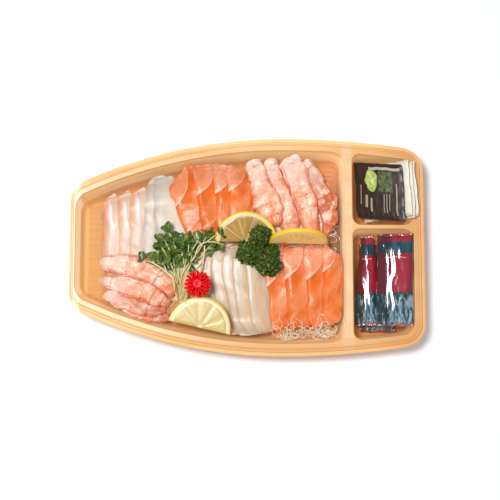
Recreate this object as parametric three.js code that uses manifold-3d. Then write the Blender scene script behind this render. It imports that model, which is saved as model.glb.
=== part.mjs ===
// Sashimi plate: a boat-shaped tray with a clear stepped insert, sliced fish, shrimps and garnish on
// a bed of radish shreds, and sachets in two small pockets. Millimetres. +X runs from bow to stern,
// +Y to the far side and +Z up. The origin is under the middle of the tray, on the table.

import * as THREE from "three";
import { mergeVertices } from "three/addons/utils/BufferGeometryUtils.js";
import Module from "manifold-3d";

const wasm = await Module();
wasm.setup();

// ---- Driving dimensions --------------------------------------------------------------------------

const TRAY_LENGTH = 336;
const TRAY_BEAM = 207.4;
const RIM_TOP = 32;
const BEAM_AT = 34; // x of the tray's widest place
const FORE_RADIUS = 462; // side arcs seen from above, from the widest place to the bow
const AFT_RADIUS = 784; // and to the stern
const CORNER_RADIUS = 23;
const SHEET = 1.5; // thickness of the tray's moulded sheet
const LIP_DROP = 2.6; // the outer lip lies this far below the rim
const SKIRT = 7;
const POCKET_FILLET = 5;

const INSERT_SHEET = 0.8;
const INSERT_LIP = 28.6;
const INSERT_STEPS = 5;
const INSERT_FLOOR = 2.7;

const GAP = 0.35; // air between pieces that touch
const SLICE = 4.2; // thickness of a slice of fish
const LEMON_RADIUS = 29.5;
const LEMON_SLICE = 5;
const BED_DEPTH = 7;

const HALF_LENGTH = TRAY_LENGTH / 2;
const HALF_BEAM = TRAY_BEAM / 2;

// ---- Plain helpers -------------------------------------------------------------------------------

const lerp = (a, b, t) => a + (b - a) * t;
const clamp = (value, low, high) => Math.min(Math.max(value, low), high);
const xy = (x, y) => new THREE.Vector2(x, y);

// Repeatable draws between low and high.
function draws(seed) {
  let state = seed >>> 0;
  return (low = 0, high = 1) => {
    state = (state + 0x6d2b79f5) >>> 0;
    let t = Math.imul(state ^ (state >>> 15), 1 | state);
    t = (t + Math.imul(t ^ (t >>> 7), 61 | t)) ^ t;
    return lerp(low, high, ((t ^ (t >>> 14)) >>> 0) / 4294967296);
  };
}

function geometryFrom(positions, indices) {
  const geometry = new THREE.BufferGeometry();
  geometry.setAttribute("position", new THREE.Float32BufferAttribute(positions, 3));
  geometry.setIndex(indices);
  return geometry;
}

function manifoldFrom(geometry, tolerance = 1e-4) {
  const bare = geometry.clone();
  bare.deleteAttribute("normal");
  bare.deleteAttribute("uv");
  const merged = mergeVertices(bare, tolerance);
  return new wasm.Manifold(
    new wasm.Mesh({
      numProp: 3,
      vertProperties: new Float32Array(merged.attributes.position.array),
      triVerts: new Uint32Array(merged.index.array),
    })
  );
}

function geometryOf(solid) {
  const mesh = solid.getMesh();
  const positions = [];
  for (let i = 0; i < mesh.vertProperties.length; i += mesh.numProp) {
    positions.push(...mesh.vertProperties.slice(i, i + 3));
  }
  return geometryFrom(positions, [...mesh.triVerts]);
}

function largestBody(solid) {
  return solid.decompose().sort((a, b) => b.volume() - a.volume())[0];
}

// Joins closed geometries and keeps the one outer body, without loose scraps or sealed hollows.
function fuse(geometries, finest = 0.08) {
  const joined = geometries.map((geometry) => manifoldFrom(geometry)).reduce((a, b) => a.add(b));
  const rounded = geometryOf(largestBody(joined).simplify(finest));
  return geometryOf(largestBody(manifoldFrom(rounded, 2e-3)));
}

// Closes a stack of level rings, lowest first, each running anticlockwise from above.
function loft(rings) {
  const count = rings[0].length;
  const positions = rings.flat().flatMap((p) => [p.x, p.y, p.z]);
  const indices = [];
  for (let level = 0; level + 1 < rings.length; level++) {
    for (let i = 0; i < count; i++) {
      const a = level * count + i;
      const b = level * count + ((i + 1) % count);
      indices.push(a, b, b + count, a, b + count, a + count);
    }
  }
  const lid = THREE.ShapeUtils.triangulateShape(rings[0].map((p) => xy(p.x, p.y)), []);
  const top = (rings.length - 1) * count;
  const topLid = THREE.ShapeUtils.triangulateShape(rings.at(-1).map((p) => xy(p.x, p.y)), []);
  for (const [a, b, c] of lid) indices.push(a, c, b);
  for (const [a, b, c] of topLid) indices.push(top + a, top + b, top + c);
  return geometryFrom(positions, indices);
}

// ---- Outlines seen from above --------------------------------------------------------------------

// An edge is { hull: inset } for a line inside the tray's side arcs, or { y: value } for a straight one.
function edgeArc(x, edge) {
  const radius = x < BEAM_AT ? FORE_RADIUS : AFT_RADIUS;
  return { radius: radius - (edge.hull ?? 0), centre: HALF_BEAM - radius };
}

function edgeHeight(x, edge) {
  if (edge.y !== undefined) return edge.y;
  const { radius, centre } = edgeArc(x, edge);
  return centre + Math.sqrt(radius ** 2 - (x - BEAM_AT) ** 2);
}

// The rounded corner between an end wall and an edge, from the wall to the edge. side is -1 at the bow.
function corner(wall, side, edge, radius, steps) {
  const x = wall - side * radius;
  let y = edge.y - radius;
  let end = Math.PI / 2;
  if (edge.y === undefined) {
    const arc = edgeArc(x, edge);
    y = arc.centre + Math.sqrt((arc.radius - radius) ** 2 - (x - BEAM_AT) ** 2);
    end = Math.atan2(y - arc.centre, x - BEAM_AT);
  }
  const start = side > 0 ? 0 : Math.PI;
  return Array.from({ length: steps + 1 }, (_, i) => {
    const angle = lerp(start, end, i / steps);
    return xy(x + radius * Math.cos(angle), y + radius * Math.sin(angle));
  });
}

// From the stern end of an edge over to its bow end.
function longEdge(box, edge, bowRadius, sternRadius, detail) {
  const stern = corner(box.stern, 1, edge, sternRadius, detail.corner);
  const bow = corner(box.bow, -1, edge, bowRadius, detail.corner).reverse();
  const from = stern.at(-1).x;
  const to = bow[0].x;
  const between = Array.from({ length: detail.side }, (_, i) => {
    const x = lerp(from, to, (i + 1) / (detail.side + 1));
    return xy(x, edgeHeight(x, edge));
  });
  return [...stern, ...between, ...bow];
}

function flip(edge) {
  return edge.y === undefined ? edge : { y: -edge.y };
}

// box is { bow, stern, far, near, radii: [far bow, far stern, near bow, near stern] }.
function outline(box, z, detail) {
  const [farBow, farStern, nearBow, nearStern] = box.radii;
  const far = longEdge(box, box.far, farBow, farStern, detail);
  const near = longEdge(box, flip(box.near), nearBow, nearStern, detail)
    .map((p) => xy(p.x, -p.y))
    .reverse();
  return [...far, ...near].map((p) => new THREE.Vector3(p.x, p.y, z));
}

// The same box with its walls moved inwards, or outwards where the amounts are negative.
function inset(box, bow, stern = bow, far = bow, near = far) {
  const move = (edge, sign, by) =>
    edge.y === undefined ? { hull: edge.hull + by } : { y: edge.y - sign * by };
  return {
    bow: box.bow + bow,
    stern: box.stern - stern,
    far: move(box.far, 1, far),
    near: move(box.near, -1, near),
    radii: box.radii.map((radius, i) => Math.max(radius - (i < 2 ? far : near), 2)),
  };
}

// ---- Tray ----------------------------------------------------------------------------------------

const HULL = {
  bow: -HALF_LENGTH,
  stern: HALF_LENGTH,
  far: { hull: 0 },
  near: { hull: 0 },
  radii: [CORNER_RADIUS, CORNER_RADIUS, CORNER_RADIUS, CORNER_RADIUS],
};
const RIM_WIDTH = 11.8;
const LIP_WIDTH = { bow: 2.2, side: 3.6, stern: 3.2 };

const POCKETS = {
  main: {
    box: {
      bow: -162.6,
      stern: 93.5,
      far: { hull: RIM_WIDTH },
      near: { hull: RIM_WIDTH },
      radii: [17, 15, 17, 15],
    },
    draft: { bow: 2, side: 5, stern: 5.5 },
  },
  wasabi: {
    box: { bow: 100, stern: 157.6, far: { hull: RIM_WIDTH }, near: { y: 20.3 }, radii: [7, 13, 9, 9] },
    draft: { bow: 2.5, side: 2.5, stern: 3 },
  },
  soy: {
    box: { bow: 100, stern: 157.6, far: { y: 16.5 }, near: { hull: RIM_WIDTH }, radii: [7, 11, 8, 14] },
    draft: { bow: 2.5, side: 2.5, stern: 3 },
  },
};
const TRAY_DETAIL = { corner: 4, side: 7 };
const SMALL_DETAIL = { corner: 3, side: 1 };

// A pocket's wall as a stack of rings from its floor up. grow moves it out to the sheet's other face.
function pocketRings(pocket, floor, top, grow, detail) {
  const { box, draft } = pocket;
  const at = (share, extra, z) => {
    const move = (wall) => draft[wall] * share + extra - grow;
    return outline(inset(box, move("bow"), move("stern"), move("side")), z, detail);
  };
  return [
    at(1, POCKET_FILLET * 0.8, floor),
    at(1, POCKET_FILLET * 0.25, floor + POCKET_FILLET * 0.3),
    at(1, 0, floor + POCKET_FILLET),
    at(0.06, 0, RIM_TOP - 1.4),
    at(0, top > RIM_TOP ? -0.7 : 0, top),
  ];
}

function makeTray() {
  const plate = outline(HULL, 0, TRAY_DETAIL);
  const level = (box, z) => outline(box, z, TRAY_DETAIL);
  const flange = inset(HULL, LIP_WIDTH.bow, LIP_WIDTH.stern, LIP_WIDTH.side);
  const lipTop = RIM_TOP - LIP_DROP;
  const lip = loft([
    plate.map((p) => new THREE.Vector3(p.x, p.y, lipTop - SKIRT)),
    level(HULL, lipTop - 0.6),
    level(inset(HULL, 0.5), lipTop),
  ]);
  const rim = loft([
    level(flange, lipTop - SHEET / 2),
    level(flange, RIM_TOP - 0.7),
    level(inset(flange, 0.7), RIM_TOP),
  ]);
  const underLip = loft([level(inset(HULL, SHEET), -SKIRT), level(inset(HULL, SHEET), lipTop - SHEET)]);
  const underRim = loft([
    level(inset(flange, SHEET), lipTop - SHEET - 1),
    level(inset(flange, SHEET), RIM_TOP - SHEET),
  ]);
  let shell = manifoldFrom(lip).add(manifoldFrom(rim));
  shell = shell.subtract(manifoldFrom(underLip)).subtract(manifoldFrom(underRim));
  for (const [name, pocket] of Object.entries(POCKETS)) {
    const detail = name === "main" ? TRAY_DETAIL : SMALL_DETAIL;
    shell = shell.add(manifoldFrom(loft(pocketRings(pocket, 0, RIM_TOP - 0.4, SHEET, detail))));
  }
  for (const [name, pocket] of Object.entries(POCKETS)) {
    const detail = name === "main" ? TRAY_DETAIL : SMALL_DETAIL;
    shell = shell.subtract(manifoldFrom(loft(pocketRings(pocket, SHEET, RIM_TOP + 0.01, 0, detail))));
  }
  return geometryOf(shell.simplify(0.02));
}

// ---- Clear insert --------------------------------------------------------------------------------

const INSERT_EDGE = { hull: 14.8 };
const INSERT_BOX = { bow: -142, stern: 90.4, far: INSERT_EDGE, near: INSERT_EDGE, radii: [12, 14, 12, 14] };
const INSERT_RUN = { bow: 1, stern: 1.7, far: 3.8, near: 2.2 }; // how far each step goes in
const INSERT_DETAIL = { corner: 2, side: 4 };
const INSERT_RISE = (INSERT_LIP - INSERT_FLOOR) / (INSERT_STEPS + 1);

function insertBox(step, grow) {
  const run = (wall) => INSERT_RUN[wall] * step - grow;
  return inset(INSERT_BOX, run("bow"), run("stern"), run("far"), run("near"));
}

// The stepped wall from its floor up, either as the clear sheet's upper face or as its lower one.
function insertRings(grow, drop, top) {
  const rings = [];
  for (let step = INSERT_STEPS; step >= 0; step--) {
    const low = INSERT_LIP - INSERT_RISE * (step + 1) - drop;
    const high = step === 0 ? top : INSERT_LIP - INSERT_RISE * step - drop;
    rings.push(outline(insertBox(step, grow), low, INSERT_DETAIL));
    rings.push(outline(insertBox(step, grow), high, INSERT_DETAIL));
  }
  return rings;
}

function makeInsert() {
  const outer = manifoldFrom(loft(insertRings(INSERT_SHEET, INSERT_SHEET, INSERT_LIP)));
  const inner = manifoldFrom(loft(insertRings(0, 0, INSERT_LIP + 1)));
  return geometryOf(outer.subtract(inner));
}

// ---- The pile: what already lies on the tray -----------------------------------------------------

// Heights of the highest surface placed so far, on a grid of square cells.
class Pile {
  constructor(cell = 1) {
    this.cell = cell;
    this.columns = Math.ceil(TRAY_LENGTH / cell) + 2;
    this.rows = Math.ceil(TRAY_BEAM / cell) + 2;
    this.heights = new Float32Array(this.columns * this.rows);
  }

  column(x) {
    return clamp(Math.floor((x + HALF_LENGTH) / this.cell) + 1, 1, this.columns - 2);
  }

  row(y) {
    return clamp(Math.floor((y + HALF_BEAM) / this.cell) + 1, 1, this.rows - 2);
  }

  // Calls visit(cell index, weights of a, b and c) for each cell whose middle a triangle covers.
  cover(a, b, c, visit) {
    const area = (b.x - a.x) * (c.y - a.y) - (c.x - a.x) * (b.y - a.y);
    if (Math.abs(area) < 1e-6) return;
    for (let j = this.row(Math.min(a.y, b.y, c.y)); j <= this.row(Math.max(a.y, b.y, c.y)); j++) {
      const y = (j - 0.5) * this.cell - HALF_BEAM;
      for (let i = this.column(Math.min(a.x, b.x, c.x)); i <= this.column(Math.max(a.x, b.x, c.x)); i++) {
        const x = (i - 0.5) * this.cell - HALF_LENGTH;
        const wb = ((x - a.x) * (c.y - a.y) - (c.x - a.x) * (y - a.y)) / area;
        const wc = ((b.x - a.x) * (y - a.y) - (x - a.x) * (b.y - a.y)) / area;
        if (wb >= 0 && wc >= 0 && wb + wc <= 1) visit(j * this.columns + i, [1 - wb - wc, wb, wc]);
      }
    }
  }

  add(geometry) {
    for (const [a, b, c] of trianglesOf(geometry)) {
      this.cover(a, b, c, (index, w) => {
        const z = w[0] * a.z + w[1] * b.z + w[2] * c.z;
        this.heights[index] = Math.max(this.heights[index], z);
      });
    }
  }

  // The highest surface in a cell and in the cells around it.
  around(index) {
    let top = 0;
    for (let j = -1; j <= 1; j++) {
      for (let i = -1; i <= 1; i++) top = Math.max(top, this.heights[index + j * this.columns + i]);
    }
    return top;
  }

  top(x, y) {
    return this.around(this.row(y) * this.columns + this.column(x));
  }
}

function* trianglesOf(geometry) {
  const { position } = geometry.attributes;
  const { array } = geometry.index;
  const at = (i) => new THREE.Vector3().fromBufferAttribute(position, i);
  for (let i = 0; i < array.length; i += 3) yield [at(array[i]), at(array[i + 1]), at(array[i + 2])];
}

// Heights at which a soft sheet with these points comes to lie on the pile, bridging small hollows.
function drape(pile, points, triangles, neighbours, stiffness) {
  const heights = points.map((p) => pile.top(p.x, p.y) + GAP);
  const contacts = [];
  for (const triangle of triangles) {
    const [a, b, c] = triangle.map((i) => points[i]);
    pile.cover(a, b, c, (index, weights) => {
      contacts.push({ triangle, weights, floor: pile.around(index) + GAP });
    });
  }
  const lift = () => {
    for (const { triangle, weights, floor } of contacts) {
      const z = triangle.reduce((sum, i, k) => sum + weights[k] * heights[i], 0);
      if (z >= floor) continue;
      const square = weights.reduce((sum, w) => sum + w * w, 0);
      triangle.forEach((i, k) => (heights[i] += ((floor - z) * weights[k]) / square));
    }
  };
  for (let round = 0; round < stiffness; round++) {
    lift();
    const before = [...heights];
    points.forEach((_, i) => {
      const mean = neighbours[i].reduce((sum, j) => sum + before[j], 0) / neighbours[i].length;
      heights[i] = Math.max(heights[i], mean - 0.15);
    });
  }
  for (let round = 0; round < 40; round++) lift();
  return heights.map((z) => z + 0.02);
}

// A slab over a grid of plan points: across runs over the width and along over the length.
// shape(u, v) gives { plan, under, thick }: the plan point, how far the underside stays up, and the
// thickness there.
function makeSlab(pile, us, vs, shape, stiffness = 3) {
  const wide = vs.length;
  const cells = us.flatMap((u) => vs.map((v) => shape(u, v)));
  const plan = cells.map((cell) => cell.plan);
  const faces = [];
  for (let i = 0; i + 1 < us.length; i++) {
    for (let j = 0; j + 1 < wide; j++) {
      const a = i * wide + j;
      const b = a + wide;
      faces.push([a, b, b + 1], [a, b + 1, a + 1]);
    }
  }
  const neighbours = plan.map((_, k) => {
    const i = Math.floor(k / wide);
    return [i > 0 ? k - wide : k, i + 1 < us.length ? k + wide : k];
  });
  const heights = drape(pile, plan, faces, neighbours, stiffness);
  const positions = [];
  plan.forEach((p, k) => positions.push(p.x, p.y, heights[k] + cells[k].under));
  plan.forEach((p, k) => positions.push(p.x, p.y, heights[k] + cells[k].thick));
  const count = plan.length;
  const edge = [];
  for (let i = 0; i + 1 < us.length; i++) edge.push(i * wide);
  for (let j = 0; j + 1 < wide; j++) edge.push((us.length - 1) * wide + j);
  for (let i = us.length - 1; i > 0; i--) edge.push(i * wide + wide - 1);
  for (let j = wide - 1; j > 0; j--) edge.push(j);
  const turn = signedArea(edge.map((k) => plan[k])) > 0 ? 1 : -1;
  const indices = [];
  const push = (a, b, c) => indices.push(...(turn > 0 ? [a, b, c] : [a, c, b]));
  for (const [a, b, c] of faces) {
    push(a, c, b);
    push(a + count, b + count, c + count);
  }
  edge.forEach((a, k) => {
    const b = edge[(k + 1) % edge.length];
    push(a, b, b + count);
    push(a, b + count, a + count);
  });
  const geometry = geometryFrom(positions, indices);
  pile.add(geometry);
  return geometry;
}

function signedArea(points) {
  return points.reduce((sum, p, i) => {
    const q = points[(i + 1) % points.length];
    return sum + (p.x * q.y - q.x * p.y) / 2;
  }, 0);
}

// How far a stiff piece has to rise, or may sink where negative, to rest on the pile.
function riseOver(pile, geometry) {
  let rise = -Infinity;
  for (const [a, b, c] of trianglesOf(geometry)) {
    pile.cover(a, b, c, (index, w) => {
      const z = w[0] * a.z + w[1] * b.z + w[2] * c.z;
      rise = Math.max(rise, pile.around(index) + GAP - z);
    });
  }
  return rise;
}

// Lowers a stiff piece straight down until it rests on the pile.
function settle(pile, geometry) {
  geometry.translate(0, 0, riseOver(pile, geometry));
  pile.add(geometry);
  return geometry;
}

// ---- Fish ----------------------------------------------------------------------------------------

const SLICE_ALONG = [0, 0.07, 0.27, 0.5, 0.73, 0.93, 1];
const SLICE_ACROSS = [-1, -0.6, 0, 0.6, 1];

// A slice runs from head to tail along a slightly bowed middle line.
function makeSlice(pile, { head, tail, width, thick = SLICE, bow = 0, taper = 0.55, skew = 0 }) {
  const middle = (u) => {
    const run = tail.clone().sub(head);
    const normal = xy(-run.y, run.x).normalize();
    return head.clone().addScaledVector(run, u).addScaledVector(normal, bow * Math.sin(Math.PI * u));
  };
  const run = tail.clone().sub(head).normalize();
  const across = xy(-run.y, run.x);
  const shape = (u, v) => {
    const end = Math.sqrt(Math.max(0, 1 - Math.abs(2 * u - 1) ** 5));
    const half = (width / 2) * lerp(taper, 1, end);
    const rounding = 1 - 0.35 * Math.abs(v) ** 4;
    return {
      plan: middle(u).addScaledVector(across, v * half).addScaledVector(run, skew * v * (1 - u)),
      under: 0,
      thick: thick * rounding * lerp(0.6, 1, end),
    };
  };
  return makeSlab(pile, SLICE_ALONG, SLICE_ACROSS, shape);
}

// Overlapping slices laid side by side, each on the last one's edge.
function makeFan(pile, slices, common, seed) {
  const draw = draws(seed);
  return slices.map(([headX, headY, tailX, tailY, width]) =>
    makeSlice(pile, {
      ...common,
      head: xy(headX, headY),
      tail: xy(tailX, tailY),
      width,
      bow: (common.bow ?? 0) + draw(-0.8, 0.8),
      thick: (common.thick ?? SLICE) * draw(0.92, 1.08),
    })
  );
}

const BREAM = { count: 6, width: 23, head: xy(-126, 44), tail: xy(-121, -14), pitch: xy(11.4, 2.4) };

function breamSlices() {
  return Array.from({ length: BREAM.count }, (_, k) => [
    BREAM.head.x + BREAM.pitch.x * k,
    BREAM.head.y + BREAM.pitch.y * k,
    BREAM.tail.x + BREAM.pitch.x * k,
    BREAM.tail.y + k,
    BREAM.width,
  ]);
}

// Each line is one slice: its head x and y, its tail x and y, and its width.
const SALMON_UPPER = [
  [-64, 73, -43, 11, 29],
  [-46, 76, -29, 10, 28],
  [-28.5, 78, -16, 11, 28],
  [-14, 78, -6, 15, 22],
];
const SALMON_LOWER = [
  [28, -3, 39, -79, 28],
  [49, -3, 55, -75, 29],
  [67, -4, 74, -74, 28],
  [76, -5, 78, -71, 20],
];
const FLOUNDER = [
  [-27, -9, -16, -76, 24],
  [-16, -7, -6, -82, 24],
  [-6, -7, 6, -83, 24],
  [3, -8, 14, -82, 20],
  [9, -14, 20, -80, 15],
];

// A peeled shrimp: five rings of meat along a curved back, thick in front and slim at the tail.
function makeShrimp(pile, { spine, widths, thick = 10 }) {
  const curve = new THREE.SplineCurve(spine.map(([x, y]) => xy(x, y)));
  const us = Array.from({ length: 9 }, (_, i) => i / 8);
  const shape = (u, v) => {
    const at = curve.getPoint(u);
    const along = curve.getTangent(u);
    const across = xy(-along.y, along.x);
    const place = u * (widths.length - 1);
    const lower = Math.min(Math.floor(place), widths.length - 2);
    const ends = Math.sqrt(clamp(4 * Math.min(u, 1 - u) + 0.25, 0, 1));
    const ring = 1 + 0.05 * Math.cos(u * 8 * Math.PI);
    const half = (lerp(widths[lower], widths[lower + 1], place - lower) / 2) * ring;
    const dome = Math.sqrt(1 - 0.86 * v * v);
    return {
      plan: at.clone().addScaledVector(across, v * half),
      under: 0.16 * thick * v ** 4,
      thick: thick * dome * ends * ring * clamp(half / 8, 0.5, 1),
    };
  };
  return makeSlab(pile, us, [-1, -0.55, 0, 0.55, 1], shape);
}

// Spines run from the head end to the tail; widths are given at even steps along them.
const SHRIMPS_UPPER = [
  {
    spine: [[22, 82], [29, 68], [35.5, 52], [40, 33], [41.5, 18]],
    widths: [13, 16, 16, 15, 9],
    thick: 9,
  },
  {
    spine: [[58, 79], [68, 64], [75, 48], [78, 33], [75.5, 15]],
    widths: [13, 18, 19, 15, 5],
    thick: 9,
  },
  {
    spine: [[7.5, 77], [11, 65], [16.5, 52], [21, 39], [25, 27]],
    widths: [14, 21, 24, 23, 11],
    thick: 11,
  },
  {
    spine: [[42, 84], [48, 68], [55, 49.5], [60, 33], [62.5, 18]],
    widths: [18, 20, 19, 17, 11],
    thick: 10,
  },
];
const SHRIMPS_LOWER = [
  {
    spine: [[-134, -16], [-116, -18], [-97, -23], [-81, -32], [-72, -45]],
    widths: [11, 18, 20, 18, 12],
    thick: 9,
  },
  {
    spine: [[-118, -57], [-107, -61], [-96, -64], [-85, -66], [-76, -67]],
    widths: [6, 10, 11, 10, 7],
    thick: 6,
  },
  {
    spine: [[-134, -43], [-120, -50], [-104, -55], [-90, -58], [-80, -59]],
    widths: [9, 14, 15, 13, 8],
    thick: 8,
  },
  {
    spine: [[-136, -33], [-117, -36], [-98, -42], [-86, -48], [-76, -53]],
    widths: [9, 15, 16, 14, 9],
    thick: 9,
  },
];

// ---- Daikon bed ----------------------------------------------------------------------------------

const BED = { bow: -134, stern: 85, inset: 34, rows: 7, columns: 12 };
const SHRED = { width: 2, thick: 1.2, length: 32, steps: 4 };
// Where loose shreds show: middle x and y, reach in x and y, and how many.
const SHRED_PATCHES = [
  [60, -81, 28, 4, 13],
  [80, 8, 4, 12, 3],
  [10, 44, 6, 10, 2],
];

function bedTop(x, y) {
  return 1.1 * Math.sin(x * 0.11 + 1) * Math.cos(y * 0.13) + 0.7 * Math.sin(x * 0.23 - y * 0.17);
}

function makeBed(pile) {
  const us = Array.from({ length: BED.columns }, (_, i) => i / (BED.columns - 1));
  const vs = Array.from({ length: BED.rows }, (_, j) => (2 * j) / (BED.rows - 1) - 1);
  const shape = (u, v) => {
    const x = lerp(BED.bow, BED.stern, u);
    const ends = Math.min(1, 0.72 + 3.2 * Math.min(u, 1 - u));
    const half = edgeHeight(x, { hull: BED.inset }) * ends;
    const plan = xy(x, v * half);
    const edge = Math.min(1, 5 * Math.min(u, 1 - u) + 0.15, 2.6 * (1 - Math.abs(v)) + 0.15);
    const thick = BED_DEPTH * Math.sqrt(edge) + bedTop(plan.x, plan.y) * edge;
    return { plan, under: 0, thick: Math.max(1, thick) };
  };
  const heap = new Pile();
  heap.heights.set(pile.heights);
  const core = makeSlab(heap, us, vs, shape, 0);
  const draw = draws(11);
  const shreds = SHRED_PATCHES.flatMap(([x, y, reachX, reachY, count]) =>
    Array.from({ length: count }, () => {
      const start = xy(x + draw(-reachX, reachX), y + draw(-reachY, reachY));
      return makeShred(pile, heap, start, draw);
    })
  );
  const bed = fuse([core, ...shreds]);
  pile.add(bed);
  return bed;
}

// One flat shred that starts in the bed and wanders over it, bedded a little into what it crosses.
function makeShred(pile, heap, start, draw) {
  let heading = draw(0, 2 * Math.PI);
  const bend = draw(-0.35, 0.35);
  const step = SHRED.length / SHRED.steps;
  const at = start.clone();
  const centre = xy(20, 0);
  const spine = [];
  for (let i = 0; i <= SHRED.steps; i++) {
    spine.push(new THREE.Vector3(at.x, at.y, heap.top(at.x, at.y) - 0.5));
    heading += bend;
    at.add(xy(Math.cos(heading), Math.sin(heading)).multiplyScalar(step));
    const limit = edgeHeight(at.x, INSERT_BOX.far) - 2.5;
    const stern = INSERT_BOX.stern - 3;
    if (Math.abs(at.y) > limit || at.x > stern) heading = Math.atan2(centre.y - at.y, centre.x - at.x);
    at.y = clamp(at.y, -limit, limit);
    at.x = Math.min(at.x, stern);
  }
  return makeStrip(clearStrip(pile, spine, SHRED.width), SHRED.width, SHRED.thick);
}

// Raises a strip's points until all of it, out to its edges, is clear of what lies under it.
function clearStrip(pile, spine, width) {
  for (let round = 0; round < 30; round++) {
    for (let i = 0; i + 1 < spine.length; i++) {
      const [a, b] = [spine[i], spine[i + 1]];
      const across = xy(-(b.y - a.y), b.x - a.x).normalize().multiplyScalar(width * 0.6);
      for (let t = 0; t <= 1; t += 0.1) {
        for (const side of [-1, 0, 1]) {
          const x = lerp(a.x, b.x, t) + side * across.x;
          const y = lerp(a.y, b.y, t) + side * across.y;
          const short = pile.top(x, y) + GAP - lerp(a.z, b.z, t);
          if (short <= 0) continue;
          const square = (1 - t) ** 2 + t ** 2;
          a.z += (short * (1 - t)) / square;
          b.z += (short * t) / square;
        }
      }
    }
  }
  return spine;
}

// A strip with a flat section along level-headed points.
function makeStrip(spine, width, thick) {
  const rings = spine.map((p, i) => {
    const before = spine[Math.max(i - 1, 0)];
    const after = spine[Math.min(i + 1, spine.length - 1)];
    const across = xy(-(after.y - before.y), after.x - before.x).normalize().multiplyScalar(width / 2);
    return [
      new THREE.Vector3(p.x + across.x, p.y + across.y, p.z),
      new THREE.Vector3(p.x - across.x, p.y - across.y, p.z),
      new THREE.Vector3(p.x - across.x, p.y - across.y, p.z + thick),
      new THREE.Vector3(p.x + across.x, p.y + across.y, p.z + thick),
    ];
  });
  const positions = rings.flat().flatMap((p) => [p.x, p.y, p.z]);
  const indices = [0, 1, 2, 0, 2, 3];
  for (let i = 0; i + 1 < rings.length; i++) {
    for (let k = 0; k < 4; k++) {
      const a = i * 4 + k;
      const b = i * 4 + ((k + 1) % 4);
      indices.push(a, b + 4, b, a, a + 4, b + 4);
    }
  }
  const last = (rings.length - 1) * 4;
  indices.push(last, last + 2, last + 1, last, last + 3, last + 2);
  return geometryFrom(positions, indices);
}

// ---- Lemon ---------------------------------------------------------------------------------------

// Half a slice of lemon: rolled in its own plane, leaning back from its cut edge, then turned in plan.
function makeLemon(pile, { x, y, turn = 0, lean, roll = 0, radius = LEMON_RADIUS }) {
  const shape = new THREE.Shape();
  const steps = 16;
  shape.moveTo(radius, 0);
  for (let i = 1; i <= steps; i++) {
    const angle = (Math.PI * i) / steps;
    shape.lineTo(radius * Math.cos(angle), radius * Math.sin(angle));
  }
  const slice = new THREE.ExtrudeGeometry(shape, {
    depth: LEMON_SLICE - 1,
    bevelEnabled: true,
    bevelThickness: 0.5,
    bevelSize: 0.5,
    bevelOffset: -0.5,
    bevelSegments: 1,
  });
  slice.deleteAttribute("normal");
  slice.deleteAttribute("uv");
  const merged = mergeVertices(slice, 1e-4);
  merged.rotateZ(roll);
  merged.rotateX(lean);
  merged.rotateZ(turn);
  merged.translate(x, y, 0);
  return settle(pile, merged);
}

// ---- Greens and flower ---------------------------------------------------------------------------

// A lump with curled lobes, round about a centre.
function makeLump(centre, radius, flatten, seed) {
  const ball = new THREE.IcosahedronGeometry(1, 2);
  ball.deleteAttribute("normal");
  ball.deleteAttribute("uv");
  const lump = mergeVertices(ball, 1e-4);
  const { position } = lump.attributes;
  const draw = draws(seed);
  const phase = [draw(0, 6), draw(0, 6), draw(0, 6)];
  for (let i = 0; i < position.count; i++) {
    const p = new THREE.Vector3().fromBufferAttribute(position, i);
    const curl = Math.sin(7 * p.x + phase[0]) * Math.sin(8 * p.y + phase[1]) * Math.sin(7 * p.z + phase[2]);
    const r = radius * (1 + 0.22 * curl + draw(-0.09, 0.09));
    position.setXYZ(i, centre.x + p.x * r, centre.y + p.y * r, centre.z + p.z * r * flatten);
  }
  return lump;
}

const PARSLEY_LOBES = [
  { x: 12.5, y: 11, radius: 9.5, rise: 7 },
  { x: 2, y: -4, radius: 12.5, rise: 8 },
  { x: 20.5, y: -16, radius: 12.5, rise: 7 },
];

function makeParsley(pile) {
  const lobes = PARSLEY_LOBES.map(({ x, y, radius, rise }, i) =>
    makeLump(new THREE.Vector3(x, y, rise + 0.8 * radius), radius, 0.8, 31 + i)
  );
  const middle = makeLump(new THREE.Vector3(11, -5, 15), 8, 0.9, 35);
  return settle(pile, fuse([...lobes, middle]));
}

const SPROUTS = {
  root: xy(-62, -49), // where the cut stems come together
  crown: xy(-66, 2), // middle of the leaves
  reach: xy(20, 15),
  leaves: 26,
};
const STEM_WIDTH = 1.6;
const LEAF_THICK = 0.9;
// Single sprouts that stray from the bunch: leaf x and y.
const STRAY_SPROUTS = [
  [-99, -11],
  [-38, 16],
  [-29, 10],
  [-26, 1],
];

function makeLeaf(pile, at, heading, pitch, size) {
  const points = [
    [0, 0, 0],
    [0.45, 0.42, 0.12],
    [0.95, 0.3, 0.05],
    [0.8, 0, -0.06],
    [0.95, -0.3, 0.05],
    [0.45, -0.42, 0.12],
  ];
  const leaf = [];
  for (const lift of [0, LEAF_THICK]) {
    for (const [a, b, c] of points) leaf.push(a * size, b * size, c * size + lift);
  }
  const faces = [[0, 3, 1], [1, 3, 2], [0, 5, 3], [5, 4, 3]];
  const indices = [];
  for (const [a, b, c] of faces) indices.push(a, c, b, a + 6, b + 6, c + 6);
  const edge = [0, 5, 4, 3, 2, 1];
  edge.forEach((a, k) => {
    const b = edge[(k + 1) % 6];
    indices.push(a, b, b + 6, a, b + 6, a + 6);
  });
  const geometry = geometryFrom(leaf, indices);
  geometry.rotateY(-pitch);
  geometry.rotateZ(heading);
  geometry.translate(at.x, at.y, at.z);
  geometry.translate(0, 0, Math.max(0, riseOver(pile, geometry)));
  return geometry;
}

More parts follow.
